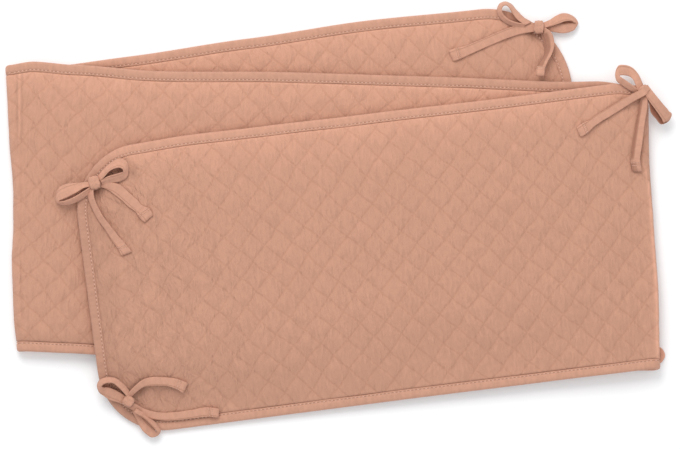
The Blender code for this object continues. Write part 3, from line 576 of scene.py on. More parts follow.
def cloth_point(along, across, out):
    """Place in space of points of the cloth, given in the strip's own measures."""
    along, across, out = np.broadcast_arrays(np.asarray(along, float), across, out)
    turn = [np.clip((along - fold_start(fold, across)) / FOLD_LENGTH, 0.0, 1.0) for fold in (0, 1)]
    plans = [plan_point(layer, along, across) for layer in (0, 1, 2)]
    result = np.zeros(along.shape + (3,))
    for layer, sign in ((0, 1.0), (1, -1.0), (2, 1.0)):
        here = (turn[0] > 0.0).astype(int) + (turn[1] > 0.0).astype(int) == layer
        result[here, :2] = plans[layer][here]
        result[here, 2] = layer_height(layer, plans[layer][here]) + sign * out[here]
    for fold, sign in ((0, 1.0), (1, -1.0)):
        bent = (turn[fold] > 0.0) & (turn[fold] < 1.0)
        angle = turn[fold][bent] * math.pi
        share = (1.0 - np.cos(angle)) / 2
        start = fold_start(fold, across[bent])
        upper = plan_point(fold, start, across[bent])
        lower = plan_point(fold + 1, start + FOLD_LENGTH, across[bent])
        reach = (FOLD_RADIUS + sign * out[bent]) * np.sin(angle)
        rise = sign * out[bent] * np.cos(angle)
        result[bent, :2] = (upper + (lower - upper) * share[:, None]
                            + np.multiply.outer(reach, heading(FOLD_FACING[fold])))
        result[bent, 2] = (layer_height(fold, upper) * (1.0 - share)
                           + layer_height(fold + 1, lower) * share + rise)
    return result


def noise_field(along, across, size, seed):
    """Smooth noise from -1 to 1 over the strip, its blobs of a given size."""
    sizes = size if isinstance(size, tuple) else (size, size)
    values = [noise.noise(Vector((x / sizes[0], y / sizes[1], seed))) for x, y in zip(along, across)]
    return np.array(values)


def inside_edge(along, across):
    """Distance of points inside the strip's rounded outline."""
    radius = np.where(along < LENGTH / 2, CORNER_RADIUS[0], CORNER_RADIUS[1])
    from_end = np.minimum(along, LENGTH - along)
    from_side = WIDTH / 2 - np.abs(across)
    rounded = radius - np.hypot(radius - from_end, radius - from_side)
    in_corner = (from_end < radius) & (from_side < radius)
    return np.where(in_corner, rounded, np.minimum(from_end, from_side))


def shows(side, along, across):
    """How far each point's face looks up: 1 on faces in view, 0 on faces turned down."""
    turn = [(along - fold_start(fold, across)) / FOLD_LENGTH for fold in (0, 1)]
    front = 1.0 - smooth((turn[0] - 0.6) / 0.4) + smooth(turn[1] - 1.2)
    back = smooth(turn[0] - 1.2) * (1.0 - smooth((turn[1] - 0.6) / 0.4))
    return np.where(side > 0, front, back)


def lay_grid(name, columns, rows, lay):
    """A flat grid of the sizes given, each point then laid at its place, with its own pattern map.

    lay gives the points, their pattern and, where it has one, their share of light.
    """
    bpy.ops.object.select_all(action="DESELECT")
    bpy.ops.mesh.primitive_grid_add(x_subdivisions=columns, y_subdivisions=rows, size=1.0)
    piece = bpy.context.object
    piece.name = name
    piece.data.name = name
    mesh = piece.data
    flat = np.empty(len(mesh.vertices) * 3)
    mesh.vertices.foreach_get("co", flat)
    share = flat.reshape(-1, 3)[:, :2] + 0.5
    points, pattern, *lit = lay(share[:, 0], share[:, 1])
    if lit:
        store_light(mesh, lit[0])
    mesh.vertices.foreach_set("co", np.ascontiguousarray(points, dtype=np.float64).ravel())
    corner = np.empty(len(mesh.loops), dtype=np.int32)
    mesh.loops.foreach_get("vertex_index", corner)
    mesh.uv_layers.active.name = "pattern"
    mesh.uv_layers.active.data.foreach_set("uv", pattern[corner].ravel())
    mesh.update()
    return piece


def close_mesh(piece, distance):
    """Merge points that meet, close open ends and turn every face outwards."""
    shell = bmesh.new()
    shell.from_mesh(piece.data)
    bmesh.ops.remove_doubles(shell, verts=shell.verts, dist=distance)
    loose = [edge for edge in shell.edges if edge.is_boundary]
    if loose:
        bmesh.ops.holes_fill(shell, edges=loose, sides=0)
    bmesh.ops.recalc_face_normals(shell, faces=shell.faces)
    shell.to_mesh(piece.data)
    shell.free()
    for face in piece.data.polygons:
        face.use_smooth = True
    piece.data.update()


def column_places():
    """Places along the strip of the panel's columns, close together in corners and folds."""
    places = [RIM_INSET]
    quarter = np.linspace(0.0, math.pi / 2, CORNER_COLUMNS + 1)[1:]
    places += list(RIM_INSET + (CORNER_RADIUS[0] - RIM_INSET) * (1.0 - np.cos(quarter)))
    stops = [(CORNER_RADIUS[0], FOLD_ALONG[0] - FOLD_MARGIN),
             (FOLD_ALONG[0] + FOLD_LENGTH + FOLD_MARGIN, FOLD_ALONG[1] - FOLD_MARGIN),
             (FOLD_ALONG[1] + FOLD_LENGTH + FOLD_MARGIN, LENGTH - CORNER_RADIUS[1])]
    for number, (start, end) in enumerate(stops):
        count = round((end - start) / COLUMN_STEP)
        places += list(np.linspace(start, end, count + 1)[1 if number == 0 else 0:])
        if number < 2:
            places += list(np.linspace(end, stops[number + 1][0], FOLD_COLUMNS + 1)[1:-1])
    quarter = quarter[::-1][1:]
    places += list(LENGTH - RIM_INSET - (CORNER_RADIUS[1] - RIM_INSET) * (1.0 - np.cos(quarter)))
    places.append(LENGTH - RIM_INSET)
    places += list(np.arange(*SEAM_COLUMNS))
    return np.unique(np.round(places, 5))


def row_places():
    """Places across the strip of the panel's rows, from edge to edge."""
    edge = [WIDTH / 2 - RIM_INSET] + [WIDTH / 2 - inset for inset in EDGE_ROWS]
    middle = np.linspace(-edge[-1], edge[-1], MIDDLE_ROWS + 1)[1:-1]
    return np.array([-place for place in edge] + list(middle) + edge[::-1])


def layer_shares(along, across):
    """Which layer each point belongs to, as three shares that change softly over the folds."""
    turn = [smooth((along - fold_start(fold, across)) / FOLD_LENGTH) for fold in (0, 1)]
    return 1.0 - turn[0], turn[0] * (1.0 - turn[1]), turn[1]


def store_light(mesh, lit):
    """Keep each point's share of light with the mesh."""
    kept = mesh.attributes.new("lit", "FLOAT", "POINT")
    kept.data.foreach_set("value", np.ascontiguousarray(lit, dtype=np.float32))


def hollow_shade(along, across, shares):
    """The deep shade on the cloth in the hollows beside the knots."""
    shade = np.zeros(len(along))
    for layer, place, reach, amount in HOLLOWS:
        away = np.linalg.norm(plan_point(layer, along, across) - np.array(place), axis=1)
        shade += shares[layer] * amount * bump(away, reach)
    return shade


def panel_light(along, across):
    """Share of light on the panel.

    It is more along the upper edge, the right fold's rim and the seam, and less by the free end,
    along the middle layer's foot, by the left fold and in the hollows beside the knots.
    """
    shares = layer_shares(along, across)
    top, middle, _ = shares
    above = WIDTH / 2 - across
    below = WIDTH / 2 + across
    (strong, first, reach), (broad, _, width) = TOP_GLOW
    lit = 1.0 + strong * np.exp(-np.maximum(above - first, 0.0) / reach)
    lit += broad * bump(above, width)
    amount, first, reach = FREE_END_SHADE
    lit -= amount * np.exp(-np.maximum(along - first, 0.0) / reach)
    amount, first, reach = MIDDLE_FOOT_SHADE
    lit -= amount * middle * np.exp(-np.maximum(below - first, 0.0) / reach)
    edge = []
    for fold, sense in ((0, 1.0), (1, -1.0)):
        start = fold_start(fold, across) + (FOLD_LENGTH if fold else 0.0)
        past = sense * (along - start)
        bend = FOLD_RADIUS + THICKNESS / 2
        turned = np.clip(past / FOLD_LENGTH * math.pi, 0.0, math.pi / 2)
        edge.append(np.where(past < 0.0, bend - past, bend * (1.0 - np.sin(turned))))
    (strong, first, reach), (broad, _, width) = FOLD_RIM_GLOW
    near = along < FOLD_ALONG[0] + FOLD_LENGTH / 2
    lit += near * (strong * bump(edge[0] - first, reach) + broad * np.exp(-edge[0] / width))
    amount, first, reach = LEFT_FOLD_SHADE
    behind = along < FOLD_ALONG[1] + FOLD_LENGTH / 2
    lit -= amount * behind * (1.0 - top) * bump(edge[1] - first, reach)
    plan = plan_point(1, along, across)
    kept = smooth((plan[:, 1] - SEAM_FADE[0]) / SEAM_FADE[1]) * middle
    for step, amount in ((0.0, SEAM_GLOW), (SEAM_STEP, -SEAM_SHADE), (-SEAM_STEP, -SEAM_SHADE)):
        lit += amount * kept * bump(plan[:, 0] - SEAM_PLACE - step, SEAM_WIDTH)
    return lit - hollow_shade(along, across, shares)


def tape_light(along, across):
    """Share of light on the binding, less where it turns away from the light."""
    shares = layer_shares(along, across)
    _, middle, last = shares
    upper = smooth(0.5 + across / TAPE_SIDE_REACH)
    start, reach = TAPE_END_REACH
    lit = 1.0 - TAPE_SHADE["end"] * (1.0 - smooth((along - start) / reach))
    lit -= middle * (TAPE_SHADE["middle_top"] * upper + TAPE_SHADE["middle_foot"] * (1.0 - upper))
    lit -= last * TAPE_SHADE["bottom_top"] * upper
    return lit - hollow_shade(along, across, shares)


def crease_depth(plan, layer):
    """Depth of the cloth's main creases at plan points: soft troughs with fading ends."""
    depth = np.zeros(len(plan))
    bow_height, bow_speed = CREASE_BOW
    for crease_layer, place, turned, half_length, half_width, deep in CREASES:
        if crease_layer != layer:
            continue
        offset = plan - np.array(place)
        ahead = offset @ heading(turned)
        bow = bow_height * half_length * np.cos(ahead / half_length * bow_speed)
        aside = offset @ heading(turned + 90.0) + bow
        depth += deep * np.exp(-(aside / half_width) ** 2 - (ahead / half_length) ** 4)
    return depth


def make_panel():
    """The quilted strip: laid flat, quilted on both faces, then folded."""
    columns = column_places()
    rows = row_places()

    def lay(column_share, row_share):
        column = np.rint(column_share * (len(columns) - 1)).astype(int)
        row = np.rint(row_share * (len(rows) - 1)).astype(int)
        points = np.column_stack((columns[column], rows[row], np.zeros(len(column))))
        return points, np.zeros((len(column), 2))

    panel = lay_grid("quilted_cloth", len(columns) - 1, len(rows) - 1, lay)
    solid = panel.modifiers.new("two_faces", "SOLIDIFY")
    solid.thickness = THICKNESS / 3
    solid.offset = 0.0
    bpy.ops.object.modifier_apply(modifier=solid.name)
    mesh = panel.data
    flat = np.empty(len(mesh.vertices) * 3)
    mesh.vertices.foreach_get("co", flat)
    base, row, side = flat.reshape(-1, 3).T
    side = np.sign(side)
    radius = np.where(base < LENGTH / 2, CORNER_RADIUS[0], CORNER_RADIUS[1]) - RIM_INSET
    short = np.maximum(radius - (np.minimum(base, LENGTH - base) - RIM_INSET), 0.0)
    half = WIDTH / 2 - RIM_INSET - radius + np.sqrt(np.maximum(radius ** 2 - short ** 2, 0.0))
    across = row * half / (WIDTH / 2 - RIM_INSET)
    along = base.copy()
    for fold in (0, 1):
        away = np.abs(base - FOLD_ALONG[fold] - FOLD_LENGTH / 2) - FOLD_LENGTH / 2 - FOLD_MARGIN
        along += across * SLANT[fold] * (1.0 - smooth(away / SLANT_REACH))
    inset = inside_edge(along, across)
    quilt_along = along + table_value(QUILT_DRIFT, "along", "ahead", along)
    quilt_across = across + table_value(QUILT_DRIFT, "along", "aside", along)
    more, near, reach = WANDER_AT_END
    restless = 1.0 + more * (1.0 - smooth((along - near) / reach))
    for far, size, seed in zip(WANDER, WANDER_SIZE, WANDER_SEEDS):
        quilt_along += far * restless * noise_field(along, across, size, seed)
        quilt_across += far * noise_field(along, across, size, seed + WANDER_SEED_STEP)
    ahead, aside = quilt_along / DIAMOND_ALONG, quilt_across / DIAMOND_ACROSS
    ridge = np.abs(np.sin(math.pi * (ahead + aside)) * np.sin(math.pi * (ahead - aside)))
    dome = ridge ** DOME_POWER
    seen = shows(side, along, across)
    quilted = smooth((inset - QUILT_START) / (QUILT_END - QUILT_START))
    stitched = quilted.copy()
    for fold in (0, 1):
        away = np.abs(along - fold_start(fold, across) - FOLD_LENGTH / 2) - FOLD_LENGTH / 2
        stitched *= smooth((away - PLAIN_AT_FOLD[fold]) / PLAIN_FADE)
    relief = (STITCH_SINK + PILLOW_RISE) * dome - STITCH_SINK
    least, near, reach = PLAINER_END
    relief *= rise_from(least, (along - near) / reach)
    relief = relief * seen - UNDERSIDE_SHARE * STITCH_SINK * (1.0 - dome) * (1.0 - seen)
    rumple = noise_field(along, across, RUMPLE_SIZE, RUMPLE_SEED) * seen * RUMPLE
    shoulder = smooth((inset - SHOULDER_START) / (SHOULDER_END - SHOULDER_START))
    out = RIM_HALF + (THICKNESS / 2 - RIM_HALF) * shoulder
    out += relief * stitched + rumple * quilted
    for layer in (0, 1, 2):
        here = ((along > fold_start(0, across)).astype(int)
                + (along > fold_start(1, across)).astype(int) == layer)
        plan = plan_point(layer, along[here], across[here])
        shift = crease_depth(plan, layer)
        if layer == 1:
            for place, rise in ((SEAM_PLACE, SEAM_RIDGE), (SEAM_PLACE + SEAM_STEP, -SEAM_GROOVE)):
                shift += rise * bump(plan[:, 0] - place, SEAM_WIDTH)
        out[here] += shift * seen[here] * quilted[here]
    for fold, sense in ((0, 1.0), (1, -1.0)):
        start = fold_start(fold, across) + (FOLD_LENGTH if fold else 0.0)
        for place, rise, width in FOLD_RIDGES[fold]:
            out += rise * bump(sense * (along - start) - place, width) * seen * quilted
    points = cloth_point(along, across, side * out)
    mesh.vertices.foreach_set("co", points.ravel())
    corner = np.empty(len(mesh.loops), dtype=np.int32)
    mesh.loops.foreach_get("vertex_index", corner)
    pattern = np.column_stack((quilt_along, quilt_across))
    mesh.uv_layers.active.data.foreach_set("uv", pattern[corner].ravel())
    store_light(mesh, panel_light(along, across))
    close_mesh(panel, 1e-7)
    return panel


def edge_stations():
    """Stations round the strip's edge: functions from an inset to (along, across)."""
    stations = []

    def straight(base, side):
        def place(inset):
            across = side * (WIDTH / 2 - inset)
            along = base
            for fold in (0, 1):
                away = abs(base - FOLD_ALONG[fold] - FOLD_LENGTH / 2) - FOLD_LENGTH / 2 - FOLD_MARGIN
                along += across * SLANT[fold] * (1.0 - float(smooth(away / SLANT_REACH)))
            return along, across
        stations.append(place)

    def corner(centre_along, centre_across, radius, angle):
        turned = math.radians(angle)
        stations.append(lambda inset: (centre_along + (radius - inset) * math.cos(turned),
                                       centre_across + (radius - inset) * math.sin(turned)))

    def end(along, sense, across):
        stations.append(lambda inset: (along - sense * inset, across))

    near, far = CORNER_RADIUS
    runs = ((near, FOLD_ALONG[0] - FOLD_MARGIN),
            (FOLD_ALONG[0] - FOLD_MARGIN, FOLD_ALONG[0] + FOLD_LENGTH + FOLD_MARGIN),
            (FOLD_ALONG[0] + FOLD_LENGTH + FOLD_MARGIN, FOLD_ALONG[1] - FOLD_MARGIN),
            (FOLD_ALONG[1] - FOLD_MARGIN, FOLD_ALONG[1] + FOLD_LENGTH + FOLD_MARGIN),
            (FOLD_ALONG[1] + FOLD_LENGTH + FOLD_MARGIN, LENGTH - far))
    bases = []
    for number, (start, stop) in enumerate(runs):
        count = BINDING_FOLD_STEPS if number % 2 else round((stop - start) / BINDING_STEP)
        bases += list(np.linspace(start, stop, count + 1)[1:])
    bases = bases[:-1]
    for side in (-1, 1):
        for base in bases if side < 0 else reversed(bases):
            straight(base, side)
        radius, centre = (far, LENGTH - far) if side < 0 else (near, near)
        first = -90.0 if side < 0 else 90.0
        angles = [first + 90.0 * step / BINDING_CORNER_STEPS for step in range(BINDING_CORNER_STEPS + 1)]
        for angle in angles:
            corner(centre, side * (WIDTH / 2 - radius), radius, angle)
        free = LENGTH if side < 0 else 0.0
        half = WIDTH / 2 - radius
        for across in np.linspace(side * half, -side * half, round(2 * half / BINDING_STEP) + 1)[1:-1]:
            end(free, -side, across)
        for angle in angles:
            corner(centre, -side * (WIDTH / 2 - radius), radius, angle + 90.0)
    return stations


STATIONS = edge_stations()


def edge_line(inset):
    """The edge's stations at an inset, as along and across, closed."""
    line = np.array([station(inset) for station in STATIONS + STATIONS[:1]])
    return line[:, 0], line[:, 1]


def closed_noise(walked, size, seed):
    """Smooth noise along a closed line, the same at its end as at its start."""
    values = np.array([noise.noise(Vector((place / size, 0.0, seed))) for place in walked])
    values[-1] = values[0]
    return values


def make_binding():
    """A soft tape folded over the edge, its section carried round every station."""
    top = list(BINDING_PROFILE)
    under = [(inset, -out) for inset, out in reversed(top[:-1])]
    section = top + under + list(BINDING_LINING) + top[:1]
    stations = len(STATIONS) + 1
    lines = [edge_line(inset) for inset, _ in section]
    outer_along, outer_across = edge_line(0.0)
    outline = cloth_point(outer_along, outer_across, np.zeros(stations))
    walked = walked_along(outline)
    waver = BINDING_WAVER["amount"] * closed_noise(walked, BINDING_WAVER["size"], BINDING_WAVER["seed"])
    pucker = BINDING_PUCKER["amount"] * closed_noise(walked, BINDING_PUCKER["size"], BINDING_PUCKER["seed"])
    round_section = walked_along(np.array(section))
    along_lines, across_lines = np.array(lines).transpose(1, 0, 2)

    def lay(station_share, section_share):
        station = np.rint(station_share * (stations - 1)).astype(int)
        place = np.rint(section_share * (len(section) - 1)).astype(int) % (len(section) - 1)
        inset, out = np.array(section)[place].T
        along = along_lines[place, station]
        across = across_lines[place, station]
        outside = place < len(top) + len(under)
        seen = shows(np.sign(out), along, across)
        middle = np.sin(math.pi * np.clip(inset / BINDING_FACE, 0.0, 1.0))
        swell = (BINDING_PUFF + pucker[station]) * middle * seen
        out = out + np.sign(out) * swell * outside
        waving = smooth((inset - BINDING_WAVER["from_inset"]) / BINDING_WAVER["fade"])
        spread = waver[station] * waving * outside
        away = across / np.maximum(np.abs(across), 1e-9)
        sideways = np.abs(np.abs(across) - (WIDTH / 2 - inset)) < 1e-4
        across = across - away * spread * sideways
        points = cloth_point(along, across, out)
        return (points, np.column_stack((walked[station], round_section[place])),
                tape_light(along, across))

    binding = lay_grid("edge_tape", stations - 1, len(section) - 1, lay)
    close_mesh(binding, 1e-6)
    sewn = [round_section[place] for place, (inset, _) in enumerate(section) if inset == STITCH_INSET]
    return binding, walked, sewn


def bead_mesh(name, size, beads):
    """Small sewn stitches: one bead copied to each place, with its own three directions."""
    bpy.ops.object.select_all(action="DESELECT")
    bpy.ops.mesh.primitive_uv_sphere_add(segments=6, ring_count=4, radius=1.0)
    sewn = bpy.context.object
    sewn.name = name
    sewn.data.name = name
    bead = np.array([vertex.co for vertex in sewn.data.vertices])[:, (2, 0, 1)] * np.array(size)
    faces = np.array([tuple(face.vertices) + (face.vertices[-1],) * (4 - len(face.vertices))
                      for face in sewn.data.polygons])
    vertices = [bead @ np.array((ahead, aside, rise)) + centre for centre, ahead, aside, rise in beads]
    all_faces = [tuple(dict.fromkeys(face)) for start in range(len(beads))
                 for face in (faces + start * len(bead)).tolist()]
    mesh = sewn.data
    mesh.clear_geometry()
    mesh.from_pydata(np.concatenate(vertices).tolist(), [], all_faces)
    for face in mesh.polygons:
        face.use_smooth = True
    mesh.update()
    return sewn


def make_stitches(walked):
    """A row of stitches on each face of the binding."""
    count = int(walked[-1] / STITCH_PITCH)
    where = np.interp(np.arange(count) * walked[-1] / count, walked, np.arange(len(walked)))
    inset_along, inset_across = edge_line(STITCH_INSET)
    along = np.interp(where, np.arange(len(walked)), inset_along)
    across = np.interp(where, np.arange(len(walked)), inset_across)
    beads = []
    for side in (1.0, -1.0):
        centre = cloth_point(along, across, side * STITCH_HEIGHT)
        rise = cloth_point(along, across, side * (STITCH_HEIGHT + MILLIMETRE)) - centre
        centre[:, 2] = np.maximum(centre[:, 2], STITCH_SIZE[2])
        ahead = np.roll(centre, -1, axis=0) - np.roll(centre, 1, axis=0)
        ahead /= np.linalg.norm(ahead, axis=1)[:, None]
        rise /= np.linalg.norm(rise, axis=1)[:, None]
        beads += list(zip(centre, ahead, np.cross(rise, ahead), rise))
    return bead_mesh("binding_stitches", STITCH_SIZE, beads)


def cover_height(place):
    """Height of the highest cloth over or beside a plan point, 0 on the floor."""
    highest = 0.0
    for layer in (2, 1, 0):
        offset = place - ORIGIN[layer]
        along = float(offset @ ALONG[layer])
        across = float(offset @ ACROSS[layer])
        first = 0.0 if layer == 0 else fold_start(layer - 1, across) + FOLD_LENGTH
        last = LENGTH if layer == 2 else fold_start(layer, across)
        bend = FOLD_RADIUS + THICKNESS / 2 + COVER_MARGIN
        first -= COVER_MARGIN if layer == 0 else bend
        last += COVER_MARGIN if layer == 2 else bend
        limits = [table_value(EDGE_STRAY, "along", column, np.clip(along, 0.0, LENGTH))
                  for column in ("top", "bottom")]
        if not first < along < last:
            continue
        if not -WIDTH / 2 + limits[1] - COVER_MARGIN < across < WIDTH / 2 + limits[0] + COVER_MARGIN:
            continue
        shown = layer_height(layer, place) + THICKNESS / 2 + PILLOW_COVER
        highest = max(highest, float(shown))
    return highest


def placed_rows(rows, above):
    """A strand's rows in metres: the left and right edges' plan places, then their heights."""
    rows = np.array(rows)
    left, right = photo_place(rows[:, 0:2], above), photo_place(rows[:, 2:4], above)
    return np.hstack((left, right, rows[:, 4:6] * MILLIMETRE))


def through(rows, stations):
    """Values carried softly through rows, at even steps along their middle."""
    middle = (rows[:, 0:2] + rows[:, 2:4]) / 2
    places = walked_along(middle)
    slope = np.gradient(rows, places, axis=0)
    where = np.linspace(0.0, places[-1], stations)
    row = np.clip(np.searchsorted(places, where, side="right") - 1, 0, len(rows) - 2)
    gap = (places[row + 1] - places[row])[:, None]
    share = (where[:, None] - places[row][:, None]) / gap
    square, cube = share ** 2, share ** 3
    return ((2 * cube - 3 * square + 1) * rows[row] + (cube - 2 * square + share) * gap * slope[row]
            + (3 * square - 2 * cube) * rows[row + 1] + (cube - square) * gap * slope[row + 1])


def bed_heights(left, right, knot_bed, pressed):
    """Heights of what carries a tape, falling no faster than a tape does."""
    if pressed:
        return np.full(len(left), PRESSED_HEIGHT)
    middle = (left + right) / 2
    bed = np.array([max(cover_height(place) for place in places) for places in zip(left, middle, right)])
    bed[0] = max(bed[0], knot_bed)
    fall = np.linalg.norm(np.diff(middle, axis=0), axis=1) * TAPE_FALL
    for index in range(1, len(bed)):
        bed[index] = max(bed[index], bed[index - 1] - fall[index - 1])
    for index in reversed(range(len(bed) - 1)):
        bed[index] = max(bed[index], bed[index + 1] - fall[index])
    for _ in range(BED_SMOOTHING):
        bed[1:-1] = (bed[:-2] + 2.0 * bed[1:-1] + bed[2:]) / 4.0
    return bed


def tape_section():
    """A tape's rounded section: places across from -1 to 1 and over from -1 to 1."""
    upper = [(x, 1.0 - TAPE_CROWN + TAPE_CROWN * math.cos(math.pi * x / 2))
             for x in np.linspace(-TAPE_SHOULDER, TAPE_SHOULDER, TAPE_FACE)]
    lower = [(x, TAPE_SOLE) for x in np.linspace(TAPE_SHOULDER, -TAPE_SHOULDER, TAPE_BACK)]
    return np.array([(-1.0, 0.0)] + upper + [(1.0, 0.0)] + lower + [(-1.0, 0.0)])


def strand_light(shades, walked_share, across):
    """Share of light on a tape, less where it has a shade. The left edge is at across = 1."""
    lit = np.ones(len(across))
    fade, softness = SHADE_FADE
    for start, stop, side, first, amount in shades:
        window = smooth((walked_share - start) / fade) * (1.0 - smooth((walked_share - stop) / fade))
        lit -= amount * window * smooth((side * across - first) / softness + 0.5)
    return lit


def make_strand(name, kind, rows, knot_bed, pressed, shades):
    """One tape of a bow, its section carried between its two edges; a tail has a sewn cap."""
    tail = kind == "tail"
    placed = through(rows, TAIL_STATIONS if tail else LOOP_STATIONS)
    bed = bed_heights(placed[:, 0:2], placed[:, 2:4], knot_bed, pressed)
    left = np.column_stack((placed[:, 0:2], bed + placed[:, 4]))
    right = np.column_stack((placed[:, 2:4], bed + placed[:, 5]))
    middle = (left + right) / 2
    half = (left - right) / 2
    tangent = np.gradient(middle, axis=0)
    tangent /= np.linalg.norm(tangent, axis=1)[:, None]
    thick = np.cross(tangent, half)
    thick /= np.linalg.norm(thick, axis=1)[:, None]
    walked = walked_along(middle)
    from_end = walked[-1] - walked
    deep = np.full(len(walked), TAPE_THICKNESS / 2)
    near_knot = np.exp(-walked / WRINKLE_REACH)
    if tail:
        deep *= 1.0 + (CAP_SWELL - 1.0) * (1.0 - smooth((from_end - CAP_LENGTH) / CAP_STEP + 0.5))
        amount, before, width = CAP_WAIST
        deep *= 1.0 - amount * bump(from_end - CAP_LENGTH - before, width)
        deep *= rise_from(CAP_TIP_DEPTH[0], from_end / CAP_TIP_DEPTH[1])
        half *= rise_from(CAP_TIP_WIDTH[0], from_end / CAP_TIP_WIDTH[1])[:, None]
    else:
        near_knot += np.exp(-from_end / WRINKLE_REACH)
    everywhere, at_knot = WRINKLE["tail" if tail else "loop"]
    wrinkle = everywhere + at_knot * near_knot
    section = tape_section()
    seed = len(name) + rows[0, 0] * WRINKLE_SEED_SPREAD
    span = np.linalg.norm(half, axis=1)

    def lay(station_share, section_share):
        station = np.rint(station_share * (len(middle) - 1)).astype(int)
        place = np.rint(section_share * (len(section) - 1)).astype(int)
        across, over = -section[place, 0], section[place, 1]
        crease = np.array([noise.noise(Vector((x * WRINKLE_GRAIN[0], y * WRINKLE_GRAIN[1], seed)))
                           for x, y in zip(across * span[station], walked[station])])
        lift = over * deep[station] + crease * wrinkle[station] * (1.0 - across ** 6)
        points = middle[station] + half[station] * across[:, None] + thick[station] * lift[:, None]
        pattern = from_end[station] if tail else LOOP_PATTERN_START + walked[station]
        lit = strand_light(shades, walked[station] / walked[-1], across)
        return points, np.column_stack((pattern, across * span[station])), lit

    strand = lay_grid(name, len(middle) - 1, len(section) - 1, lay)
    close_mesh(strand, 1e-7)
    beads = []
    if tail and not pressed:
        for row in CAP_STITCH_ROWS:
            station = int(np.argmin(np.abs(from_end - (CAP_LENGTH - row))))
            up = thick[station]
            aside = half[station] / span[station]
            for across in np.linspace(-CAP_STITCH_SPREAD, CAP_STITCH_SPREAD, CAP_STITCHES):
                centre = middle[station] + half[station] * across + up * (deep[station] - CAP_STITCH_SINK)
                beads.append((centre, aside, np.cross(up, aside), up))
    return strand, beads


def make_knot(name, place, height, size, turned, bed):
    """A pulled-tight knot: a rounded lump with the tape's band wrapped over its middle."""
    def lay(round_share, pole_share):
        around = 2.0 * math.pi * round_share
        rise = math.pi * (pole_share - 0.5)
        ball = np.array((np.cos(around) * np.cos(rise), np.sin(around) * np.cos(rise), np.sin(rise)))
        x, y, height_share = np.sign(ball) * np.abs(ball) ** KNOT_SQUARENESS
        band = KNOT_BAND["rise"] * (1.0 - smooth((np.abs(x) - KNOT_BAND["half"]) / KNOT_BAND["edge"]))
        band -= KNOT_BAND["fall"] * smooth((np.abs(x) - KNOT_BAND["from"]) / KNOT_BAND["reach"])
        near, far = KNOT_FOLDS["along"], KNOT_FOLDS["round"]
        folds = np.array([noise.noise(Vector((a * near, b * far, c * far + turned)))
                          for a, b, c in zip(x, y, height_share)])
        grow = 1.0 + band + KNOT_FOLDS["out"] * folds
        x, y = x * grow * size[0], y * grow * size[1]
        z = height_share * (1.0 + band + KNOT_FOLDS["up"] * folds) * size[2]
        tilt = math.radians(turned)
        points = np.column_stack((place[0] + x * math.cos(tilt) - y * math.sin(tilt),
                                  place[1] + x * math.sin(tilt) + y * math.cos(tilt),
                                  np.maximum(height + z, bed)))
        start, long, wide = KNOT_PATTERN
        pattern = np.column_stack((start + long * np.cos(around), wide * np.sin(rise)))
        foot = (points[:, :2] - place) @ heading(KNOT_SHADE_TOWARDS) / size[0]
        top, fade, over = KNOT_SHADE_FADE
        shaded = smooth((top - height_share) / fade) * smooth(foot + over)
        return points, pattern, 1.0 - KNOT_SHADE * shaded

    lump = lay_grid(name, *KNOT_GRID, lay)
    close_mesh(lump, 1e-6)
    return lump


def make_tie(name, tie):
    """One tie in its bow: the knot, its loops and its tails, and the stitches of its caps."""
    knot = photo_place(np.array(tie["knot"]), tie["above"])
    size = np.array(tie["size"]) * MILLIMETRE
    pressed = size[2] < PRESSED_KNOT
    footprint = [knot + size[0] * heading(angle) for angle in range(0, 360, 45)]
    bed = 0.0 if pressed else max(cover_height(place) for place in footprint)
    height = bed + (size[2] + PRESSED_LIFT if pressed else KNOT_LIFT)
    parts = [make_knot(name + "_knot", knot, height, size, tie["turned"], bed + PRESSED_LIFT)]
    beads = []
    for number, (kind, rows, *shades) in enumerate(tie["strands"]):
        rows = placed_rows(rows, tie["above"])
        strand, sewn = make_strand("%s_%d" % (name, number), kind, rows, bed, pressed, shades)
        parts.append(strand)
        beads += sewn
    bpy.ops.object.select_all(action="DESELECT")
    for part in parts:
        part.select_set(True)
    bpy.context.view_layer.objects.active = parts[0]
    bpy.ops.object.join()
    bow = bpy.context.object
    bow.name = name + "_bow"
    bow.data.name = bow.name
    return bow, beads


def add_node(tree, kind, values=(), **settings):
    """A shader node with its settings, its first inputs linked or set in order."""
    made = tree.nodes.new(kind)
    for key, value in settings.items():
        setattr(made, key, value)
    for slot, value in enumerate(values):
        if isinstance(value, bpy.types.NodeSocket):
            tree.links.new(value, made.inputs[slot])
        else:
            made.inputs[slot].default_value = value
    return made


def math_node(tree, operation, *values):
    """A maths node's result."""
    return add_node(tree, "ShaderNodeMath", values, operation=operation).outputs[0]


def soft_step(tree, value, start, end):
    """A smooth rise from 0 to 1 between two values."""
    made = add_node(tree, "ShaderNodeMapRange", (value, start, end, 0.0, 1.0),
                    interpolation_type="SMOOTHSTEP")
    return made.outputs[0]


def mixed(tree, share, first, second):
    """A colour between two, each a socket or a colour."""
    made = tree.nodes.new("ShaderNodeMix")
    made.data_type = "RGBA"
    for slot, value in ((0, share), (6, first), (7, second)):
        if isinstance(value, bpy.types.NodeSocket):
            tree.links.new(value, made.inputs[slot])
        else:
            made.inputs[slot].default_value = value if slot == 0 else (*value, 1.0)
    return made.outputs[2]


def toned(colour, share):
    """A colour made lighter or deeper by a share."""
    return tuple(share * value for value in colour)


def scaled(tree, shade, share):
    """A shade made lighter or deeper by a share that a node gives."""
    made = add_node(tree, "ShaderNodeVectorMath", (shade,), operation="SCALE")
    tree.links.new(share, made.inputs["Scale"])
    return made.outputs[0]


